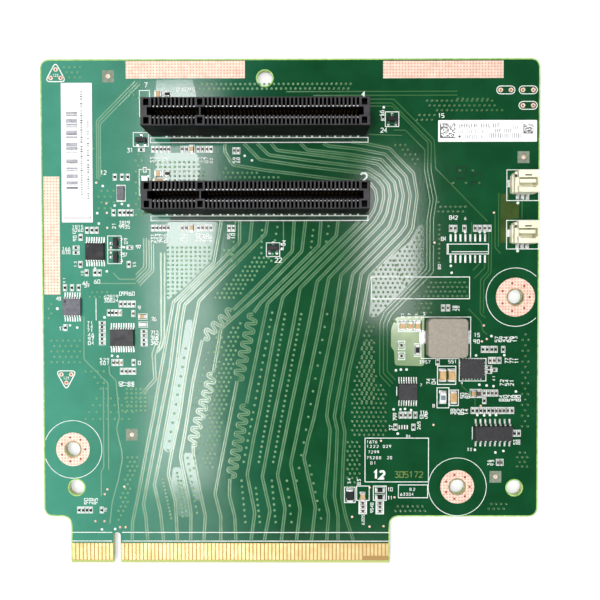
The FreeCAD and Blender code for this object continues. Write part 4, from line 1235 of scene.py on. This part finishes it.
header = {
    "centre": 0.25, "shelf": (1.35, 1.6), "rim": 0.2, "rimDrop": 0.14, "back": 0.35,
    "cavityWide": 4.85, "cavityDeep": 2.6, "cavityStep": 0.45, "depth": 3.6,
    "tongue": (4.1, 0.95), "tongueAt": 0.45, "latch": (1.75, 0.34), "latchAt": 1.15, "latchDepth": 2.6,
    "pinWidth": 0.62, "pad": (0.95, 1.5),
    "pin": [(0.0, 0.02), (1.06, 0.02), (1.1, 0.14), (0.62, 0.22), (0.34, 0.62), (0.02, 0.72), (0.0, 0.56), (0.22, 0.46),
            (0.44, 0.14)],
}


def makeHeader(number):
    name = "side_header_%d" % number
    low, high = boxOf(name + "_housing")
    x, y = centre(low, high)
    x += header["centre"]
    top, base, back = high.z, boardTop + 0.02, y - header["back"]
    wide, deep, step, edge = header["cavityWide"] / 2, header["cavityDeep"] / 2, header["cavityStep"], header["rim"]
    latchWide, latchDeep = header["latch"]
    latchTop = high.y - header["latchAt"]
    xs = sorted({low.x + header["shelf"][0], low.x + header["shelf"][1], high.x - edge, high.x, x - wide, x + wide,
                 x - wide + step, x + wide - step, x - latchWide / 2, x + latchWide / 2})
    ys = sorted({low.y, low.y + edge, high.y - edge, high.y, back - deep, back - deep + step, back + deep,
                 latchTop - latchDeep, latchTop})

    def level(u, v):
        if abs(u - x) < wide and abs(v - back) < deep:
            return top if v < back - deep + step and abs(u - x) > wide - step else top - header["depth"]
        if abs(u - x) < latchWide / 2 and latchTop - latchDeep < v < latchTop:
            return top - header["latchDepth"]
        return top

    points, faces = gridBlock(xs, ys, level, base)
    body = Batch()
    body.add((dropRim(points, xs, ys, top, header["rimDrop"]), faces))
    # the lower shelf on the inboard side, its rib and the lug, whose eye is a spot of painted shade
    body.add(chamferBlock(low.x + 0.9, y - 0.1, base, 1.1, high.y - low.y - 0.3, 3.3, 0.12))
    body.add(chamferBlock(low.x + 0.28, y - 0.3, base, 0.5, high.y - low.y - 1.0, 1.9, 0.1))
    body.add(chamferBlock(x, back + header["tongueAt"], boardTop + 0.4, *header["tongue"], top - boardTop - 0.9, 0.08))
    # the latch in the cavity is a dark block of painted shade
    body.add(chamferBlock(x, latchTop - latchDeep / 2, top - header["latchDepth"], latchWide - 0.04,
                          latchDeep - 0.04, 2.35, 0.02), 1)
    body.add(chamferBlock(low.x + 0.55, high.y - 1.3, boardTop + 3.2, 0.6, 0.75, 0.16, 0.05), 1)
    body.make(name + "_moulding", ["ivoryResin", "holeShade"], "ivory_resin", [name + "_housing"])
    metal, pads = Batch(), Batch()
    for box in solidBoxes(name + "_pins"):
        c = middle(box)
        metal.add(sweep([(u, boardTop + v) for u, v in header["pin"]], c.x, box[1].y, (0, -1), header["pinWidth"]))
        pads.add(chamferBlock(c.x, c.y - 0.1, z0, *header["pad"], 0.05, 0.02))
    for box in solidBoxes(name + "_nails"):
        c, wide = middle(box), box[1] - box[0]
        metal.add(chamferBlock(c.x, c.y, boardTop, wide.x, wide.y, 0.24, 0.05))
    metal.make(name + "_leads", ["tinPlate"], "tin_plate", [name + "_pins", name + "_nails"])
    pads.make(name + "_pads", ["solder"], "solder")


makeHeader(1)
makeHeader(2)
print("headers moulded")

# inductor

coil = {"corner": 1.3, "crown": 0.14, "edge": 0.32, "padAt": 5.6, "pad": (2.3, 3.6, 0.05, 0.02)}


def makeInductor():
    low, high = boxOf("inductor_core")
    x, y = centre(low, high)
    wide, deep = high.x - low.x, high.y - low.y

    def outline(inset, z):
        corners = boxLine(x - wide / 2 + inset, y - deep / 2 + inset, x + wide / 2 - inset, y + deep / 2 - inset)
        return [(u, v, z) for u, v in roundedLoop(corners, max(0.5, coil["corner"] - inset * 0.3), 6)]

    block = Batch()
    edge, shoulder = coil["edge"], high.z - coil["crown"]
    rings = [outline(0.12, low.z + 0.06), outline(0.0, low.z + 0.3)]
    for k in range(5):
        angle = math.pi / 2 * k / 4
        rings.append(outline(edge * (1 - math.cos(angle)), shoulder - edge + edge * math.sin(angle)))
    rings += [outline(1.2, high.z - coil["crown"] * 0.3), outline(3.0, high.z)]
    block.add(loft(rings))
    block.make("inductor_block", ["pressedPowder"], "pressed_powder", ["inductor_core"], True)
    ends, pads = Batch(), Batch()
    for box in solidBoxes("inductor_terminals"):
        c, size = middle(box), box[1] - box[0]
        ends.add(chamferBlock(c.x, c.y, boardTop, size.x, size.y, size.z, 0.06))
    ends.make("inductor_tabs", ["tinPlate"], "tin_plate", ["inductor_terminals"])
    for side in (-1, 1):
        pads.add(chamferBlock(x + side * coil["padAt"], y, z0, *coil["pad"]))
    pads.make("inductor_pads", ["solder"], "solder")


makeInductor()
print("inductor pressed")

# chips in moulded packages, with their bent leads

packages = {
    # node prefix: side of the pin-1 corner along x and y, finish, lead width, width added to the body
    "left_bus_switch": (-1, 1, "blackFilm", 0.26, 0),
    "left_clock_buffer": (-1, 1, "greyResin", 0.26, 0.5),
    "level_shifter": (-1, -1, "packageResin", 0.26, 0),
    "right_bus_switch": (-1, -1, "packageResin", 0.26, 0),
    "power_sequencer": (-1, 1, "packageResin", 0.42, 0),
}
leadSheet = 0.16


def gullWing(height, reach):
    # outline of a bent lead: distance out from the body, height it leaves the body at
    bottom, sheet, foot = boardTop + 0.01, leadSheet, reach * 0.52
    return [(-0.1, height + sheet / 2), (reach * 0.28, height + sheet / 2), (reach * 0.46, height * 0.84),
            (reach - foot * 0.62, bottom + sheet), (reach - 0.03, bottom + sheet * 0.92), (reach, bottom + sheet * 0.5),
            (reach, bottom), (reach - foot, bottom), (reach * 0.30, height * 0.76), (reach * 0.2, height - sheet / 2),
            (-0.1, height - sheet / 2)]


def leadFrom(box, low, high, upright):
    # where a lead leaves its body, which way it runs, and how far
    c, (x, y) = middle(box), centre(low, high)
    if upright:
        side = 1 if c.y > y else -1
        edge, tip = (high.y, box[1].y) if side > 0 else (low.y, box[0].y)
        return (c.x, edge), (0, side), abs(tip - edge)
    side = 1 if c.x > x else -1
    edge, tip = (high.x, box[1].x) if side > 0 else (low.x, box[0].x)
    return (edge, c.y), (side, 0), abs(tip - edge)


def makePackage(name, cornerX, cornerY, coat, width, extra):
    low, high = boxOf(name + "_package")
    x, y = centre(low, high)
    wide, deep, tall = high.x - low.x + extra, high.y - low.y, high.z - low.z
    body, leads, pads = Batch(), Batch(), Batch()
    body.add(mouldedBlock(x, y, low.z, wide, deep, tall, 0.1, 0.06))
    u, v = x + cornerX * (wide / 2 - 0.75), y + cornerY * (deep / 2 - 0.75)
    body.add(ring(u, v, 0.26, 0.32, high.z - 0.02, high.z + 0.012, 20), 1)      # the pin-1 dimple, with a spot of painted shade in its centre
    body.add(disc(u, v, 0.26, high.z - 0.02, high.z + 0.004, 20), 2)
    body.make(name + "_body", [coat, "packageResin", "holeShade"], "package_resin", [name + "_package"])
    for box in solidBoxes(name + "_leads"):
        c, size = middle(box), box[1] - box[0]
        start, along, reach = leadFrom(box, low, high, size.y >= size.x)
        leads.add(sweep(gullWing(boardTop + tall * 0.5, reach), *start, along, width))
        side = 1 if c.y > y else -1
        tip = box[1].y if side > 0 else box[0].y
        pads.add(chamferBlock(c.x, tip + side * 0.02, z0, width + 0.03, 1.2, 0.06, 0.02))
    leads.make(name + "_wings", ["tinPlate"], "tin_plate", [name + "_leads"])
    pads.make(name + "_pads", ["tinPlate"], "solder")


for name, look in packages.items():
    makePackage(name, *look)
print("packages soldered")

# leadless and three-legged packages

flats = {
    "driverPads": 7, "driverPitch": 0.78, "driverPad": (0.30, 0.42), "flashPads": 4, "flashPitch": 0.5,
    "levelTransistor": (7.1, 111.5, 2.9, 1.3, 0.95),      # place, width, depth and height of its body
    "levelLegs": ((0, 1), (-0.95, -1), (0.95, -1)),
    "legWidth": 0.42, "legHeight": 0.55, "legReach": 0.55, "legPad": (0.56, 0.8),
}


def makeFlats():
    low, high = boxOf("power_stage_package")
    x, y = centre(low, high)
    wide, deep = high.x - low.x, high.y - low.y
    body, metal, chip = Batch(), Batch(), Batch()
    body.add(mouldedBlock(x, y, low.z + 0.02, wide, deep, high.z - low.z - 0.02, 0.06, 0.05))
    # the pin-1 mark is a spot of painted shade
    body.add(disc(low.x + 0.7, low.y + 0.7, 0.22, high.z - 0.02, high.z + 0.004, 18), 1)
    body.make("power_stage_body", ["packageResin", "holeShade"], "package_resin", ["power_stage_package"])
    for side in (-1, 1):
        for k in range(flats["driverPads"]):
            at = (k - (flats["driverPads"] - 1) / 2) * flats["driverPitch"]
            metal.add(chamferBlock(x + at, y + side * (deep / 2 + 0.12), z0, *flats["driverPad"], 0.16, 0.04))
            if abs(at) < deep / 2 - 0.3:
                metal.add(chamferBlock(x + side * (wide / 2 + 0.12), y + at, z0, *flats["driverPad"][::-1], 0.16, 0.04))
    metal.make("power_stage_pads", ["tinPlate"], "tin_plate")
    low, high = boxOf("flash_package")
    x, y = centre(low, high)
    chip.add(mouldedBlock(x, y, low.z, high.x - low.x, high.y - low.y, high.z - low.z, 0.05, 0.05))
    chip.add(disc(low.x + 0.45, high.y - 0.5, 0.16, high.z - 0.02, high.z + 0.004, 16), 1)
    for k in range(flats["flashPads"]):
        for side in (-1, 1):
            at = x + (k - 1.5) * flats["flashPitch"]
            chip.add(chamferBlock(at, y + side * ((high.y - low.y) / 2 + 0.1), z0, 0.24, 0.42, 0.14, 0.03), 2)
    chip.make("flash_body", ["greyResin", "holeShade", "tinPlate"], "package_resin", ["flash_package"])


def makeTransistors():
    bodies = solidBoxes("transistor_packages")
    moulded, legs, pads = Batch(), Batch(), Batch()

    def leg(start, along, reach, padAt):
        (x, y), (u, v), size = start, along, flats["legPad"]
        legs.add(sweep(gullWing(boardTop + flats["legHeight"], reach), x, y, along, flats["legWidth"]))
        pads.add(chamferBlock(x + u * padAt, y + v * padAt, z0, *(size if u == 0 else size[::-1]), 0.06, 0.02))

    for low, high in bodies:
        moulded.add(mouldedBlock(*centre(low, high), low.z, *(high - low), 0.09, 0.05))
    for box in solidBoxes("transistor_leads"):
        c = middle(box)
        low, high = min(bodies, key=lambda b: (middle(b) - c).length)
        start, along, reach = leadFrom(box, low, high, high.x - low.x > high.y - low.y)
        leg(start, along, reach, reach * 0.8)
    x, y, wide, deep, tall = flats["levelTransistor"]
    moulded.add(mouldedBlock(x, y, boardTop + 0.1, wide, deep, tall, 0.09, 0.05))
    for u, side in flats["levelLegs"]:
        leg((x + u, y + side * deep / 2), (0, side), flats["legReach"], 0.45)
    moulded.make("transistor_bodies", ["blackFilm"], "package_resin", ["transistor_packages"])
    legs.make("transistor_wings", ["darkLead"], "tin_plate", ["transistor_leads"])
    pads.make("transistor_pads", ["solder"], "solder")


makeFlats()
makeTransistors()

# chips with metal ends

chips = {
    # node prefix: body finish
    "power_capacitor": "tanCeramic", "bulk_capacitor": "tanCeramic", "slot_capacitor": "tanCeramic",
    "fuse": "whiteCeramic", "shunt_resistor": "blackFilm",
}


def makeChips(name, coat):
    body, ends, pads = Batch(), Batch(), Batch()
    for low, high in solidBoxes(name + "_bodies"):
        (x, y), size = centre(low, high), high - low
        body.add(chamferBlock(x, y, low.z + 0.03, size.x, size.y, size.z - 0.06, 0.05))
        if name == "fuse" and low.x > 40:
            body.add(chamferBlock(x, y, high.z - 0.1, size.x * 0.78, size.y * 0.55, 0.1, 0.03), 1)
    for low, high in solidBoxes(name + "_terminations"):
        (x, y), size = centre(low, high), high - low
        ends.add(chamferBlock(x, y, low.z, size.x, size.y, size.z, 0.08))
        pads.add(chamferBlock(x, y, z0, size.x + 0.35, size.y + 0.35, 0.07, 0.03))
    body.make(name + "_cores", [coat, "slateGlaze"], "white_ceramic" if name == "fuse" else "tan_ceramic",
              [name + "_bodies"])
    ends.make(name + "_ends", ["tinPlate"], "tin_plate", [name + "_terminations"])
    pads.make(name + "_pads", ["solder"], "solder")


for name, coat in chips.items():
    makeChips(name, coat)

# the smallest chips, which the frame leaves out: a finish, then places in millimetres

smallChips = {
    "size": (1.0, 0.5, 1.66, 0.92),      # length, width, and those of its printed frame
    "small": (0.36, 0.27), "large": (0.75, 0.34),      # height, length of each end
    "upright": [
        ("blackFilm", 92.6, (-0.3, 1.4, 2.5, 3.5, 4.4)), ("blackFilm", 101.9, (0.1, 2, 3.5)),
        ("blackFilm", 88.05, (-7.3, -6, -4.8)), ("blackFilm", 86.2, (-9,)), ("blackFilm", 79.1, (3.6, -9.1)),
        ("blackFilm", 76.9, (-7.5, -5.3, -4.1)), ("blackFilm", 73, (-13.2, -11.4, -9.6)),
        ("brownCeramic", 68.7, (1.4, 2.6, 3.7, 4.8)), ("blackFilm", 66.4, (-1.7, -0.8, 0.2)),
        ("tanCeramic", 66.4, (1.2,)), ("brownCeramic", 66.2, (4.7,)), ("blackFilm", 62.5, (-13.2,)),
        ("brownCeramic", 53.3, (-0.6, 0.4, 4.7)), ("tanCeramic", 53.3, (1.4,)),
        ("brownCeramic", 51, (1.6, 2.7, 3.7, 4.8)),
        ("brownCeramic", 109.1, (10.2, 11.2, 12.2, 13.2, 14.2, 17.8, 18.9, 22, 23.1, 24.2, 25.3)),
        ("brownCeramic", 108.7, (31.4, 32.4)),
        ("brownCeramic", 88.6, (10, 11, 12, 13, 14, 17.7, 18.8, 21.9, 23, 24.1, 25.2)),
        ("brownCeramic", 88.5, (30, 31.1)), ("blackFilm", 83.7, (43.7,)), ("blackFilm", 117.3, (70.2,)),
        ("brownCeramic", 39.4, (75, 76.2, 77.4, 78.8)), ("blackFilm", 36.2, (73.6, 78.3)),
        ("brownCeramic", 53.8, (98.4, 99.5, 100.8)), ("blackFilm", 56.7, (96.5, 97.6, 98.8, 99.8, 101.8)),
        ("blackFilm", 53.4, (84.6,)), ("brownCeramic", 67.6, (86, 87.3)), ("brownCeramic", 26.9, (100.6, 101.5)),
        ("blackFilm", 14.2, (-10, -8.9, -7.9, -6.9, -4)), ("brownCeramic", 45.2, (96.9, 98, 99, 100)),
        ("blackFilm", 43.2, (96.9,)), ("blackFilm", 40.6, (93.9, 95, 96, 97, 98.1, 99.1)),
        ("brownCeramic", 40.6, (100.1, 101.1, 102.1, 103.1, 104.2)), ("blackFilm", 34.6, (104.9, 106)),
        ("brownCeramic", 88.4, (88, 89.1, 91.5, 94.3, 95.5, 96.8, 98)),
    ],
    "level": [
        ("blackFilm", (-10.2, 83.5)), ("blackFilm", (-10.2, 82.2)), ("brownCeramic", (3.9, 83.5)),
        ("blackFilm", (7.1, 109)), ("brownCeramic", (-3.5, 63.7)), ("blackFilm", (-3.5, 62.7)),
        ("brownCeramic", (-3.5, 61.7)), ("blackFilm", (-3.5, 60.6)), ("blackFilm", (-3.5, 59.5)),
        ("brownCeramic", (-3.5, 58.4)), ("blackFilm", (7.5, 61.5)), ("brownCeramic", (7.5, 60.4)),
        ("blackFilm", (7.5, 59.2)), ("blackFilm", (7.5, 58.1)), ("brownCeramic", (65, 16)),
        ("brownCeramic", (65, 15)), ("brownCeramic", (65, 13.9)), ("brownCeramic", (69.5, 16)),
        ("brownCeramic", (69.5, 15)), ("brownCeramic", (69.5, 13.9)), ("blackFilm", (98, 51.9)),
        ("blackFilm", (98, 50.8)), ("brownCeramic", (99.4, 51.3)), ("blackFilm", (75.1, 57.8)),
        ("blackFilm", (75.1, 55)),
    ],
    # larger ones: finish, place, length along x, length along y
    "larger": [
        ("tanCeramic", (20.3, 109.1), 0.85, 1.6), ("tanCeramic", (11.7, 123.3), 1.6, 1.5),
        ("tanCeramic", (11.6, 102.7), 1.6, 1.5), ("blackFilm", (14, 123.3), 1.1, 1.2),
        ("blackFilm", (13.9, 102.7), 1.1, 1.2), ("tanCeramic", (20.2, 88.6), 0.85, 1.6),
        ("tanCeramic", (7.2, 65.4), 1.7, 0.85), ("whiteCeramic", (7.3, 63.3), 1.7, 0.85),
        ("tanCeramic", (93.9, 45.1), 0.85, 1.6), ("brownCeramic", (95.4, 45.1), 0.85, 1.6),
        ("blackFilm", (69.5, 19.6), 1.8, 0.85), ("blackFilm", (69.5, 17.7), 1.8, 0.85),
        ("blackFilm", (79.3, 56.6), 0.9, 1.9),
    ],
}


def chipAt(cores, ends, x, y, wide, deep, height, end, ink):
    # the long side carries the metal ends
    up, along = (1, 0) if deep > wide else (0, 1)
    cores.add(chamferBlock(x, y, boardTop + 0.03, wide * 0.96 if up else wide - end, deep - end if up else deep * 0.96,
                           height - 0.03, 0.03), ink)
    for side in (-1, 1):
        at = side * ((deep if up else wide) - end) / 2
        ends.add(chamferBlock(x + along * at, y + up * at, boardTop, wide if up else end, end if up else deep,
                              height, 0.05))
        at = side * ((deep if up else wide) / 2 + 0.02)
        ends.add(chamferBlock(x + along * at, y + up * at, z0, wide + 0.04 if up else 0.42, 0.42 if up else deep + 0.04,
                              0.12, 0.05))


def makeSmallChips(look):
    coats = ["blackFilm", "brownCeramic", "tanCeramic", "whiteCeramic"]
    cores, ends, marks = Batch(), Batch(), Batch()
    long, wide, frameLong, frameWide = look["size"]

    def place(coat, x, y, dx, dy, height, end, frameX, frameY):
        chipAt(cores, ends, x, y, dx, dy, height, end, coats.index(coat))
        marks.add(ribbon(boxLine(x - frameX, y - frameY, x + frameX, y + frameY), 0.13, z0, zAt("ink"), True))

    for coat, y, row in look["upright"]:
        for x in row:
            place(coat, x, y, wide, long, *look["small"], frameWide / 2, frameLong / 2)
    for coat, (x, y) in look["level"]:
        place(coat, x, y, long, wide, *look["small"], frameLong / 2, frameWide / 2)
    for coat, (x, y), dx, dy in look["larger"]:
        place(coat, x, y, dx, dy, *look["large"], dx / 2 + 0.3, dy / 2 + 0.3)
    cores.make("small_chip_cores", coats, "tan_ceramic")
    ends.make("small_chip_ends", ["tinPlate"], "tin_plate")
    marks.make("small_chip_marks", ["whiteInk"], "paper")


makeSmallChips(smallChips)
print("chips soldered")

# pads left empty

emptyPads = {
    # place, width, depth, count and spacing along x
    "tinned": [(87.9, 85.9, 0.5, 1.9, 8, 9 / 7), (87.9, 80.4, 0.5, 2.0, 8, 9 / 7), (81.3, 60.0, 1.4, 3.0, 1, 0),
               (74.6, 36.2, 0.35, 1.1, 4, 0.7)],
    "dots": (13.7, 2, 26, 3.5, 0.3),         # first place, spacing, count, distance from the slot's middle, radius
    "dotTop": 1.62, "keyDot": 5,             # the one that the slot's key leaves out
}


def makeEmptyPads():
    tinned = Batch()
    for x, y, wide, deep, count, step in emptyPads["tinned"]:
        for k in range(count):
            tinned.add(chamferBlock(x + k * step, y, z0, wide, deep, 0.07, 0.03))
    first, step, count, out, radius = emptyPads["dots"]
    for line in slotLines:
        for side in (-1, 1):
            for k in range(count):
                if k != emptyPads["keyDot"]:
                    tinned.add(disc(first + step * k, line + side * out, radius, z0, emptyPads["dotTop"], 14))
    tinned.make("empty_pads", ["tinPlate"], "solder")


makeEmptyPads()
print("pads tinned")

# the CAD pieces that stay get their finishes

kept = {
    "pcb_laminate": "solderMask", "edge_fingers_front": "goldPlate", "edge_fingers_back": "goldPlate",
    "slot_1_solder_joints": "solder", "slot_2_solder_joints": "solder",
}
for name, coat in kept.items():
    for seat in nodes[name].material_slots:
        seat.material = paints[coat]
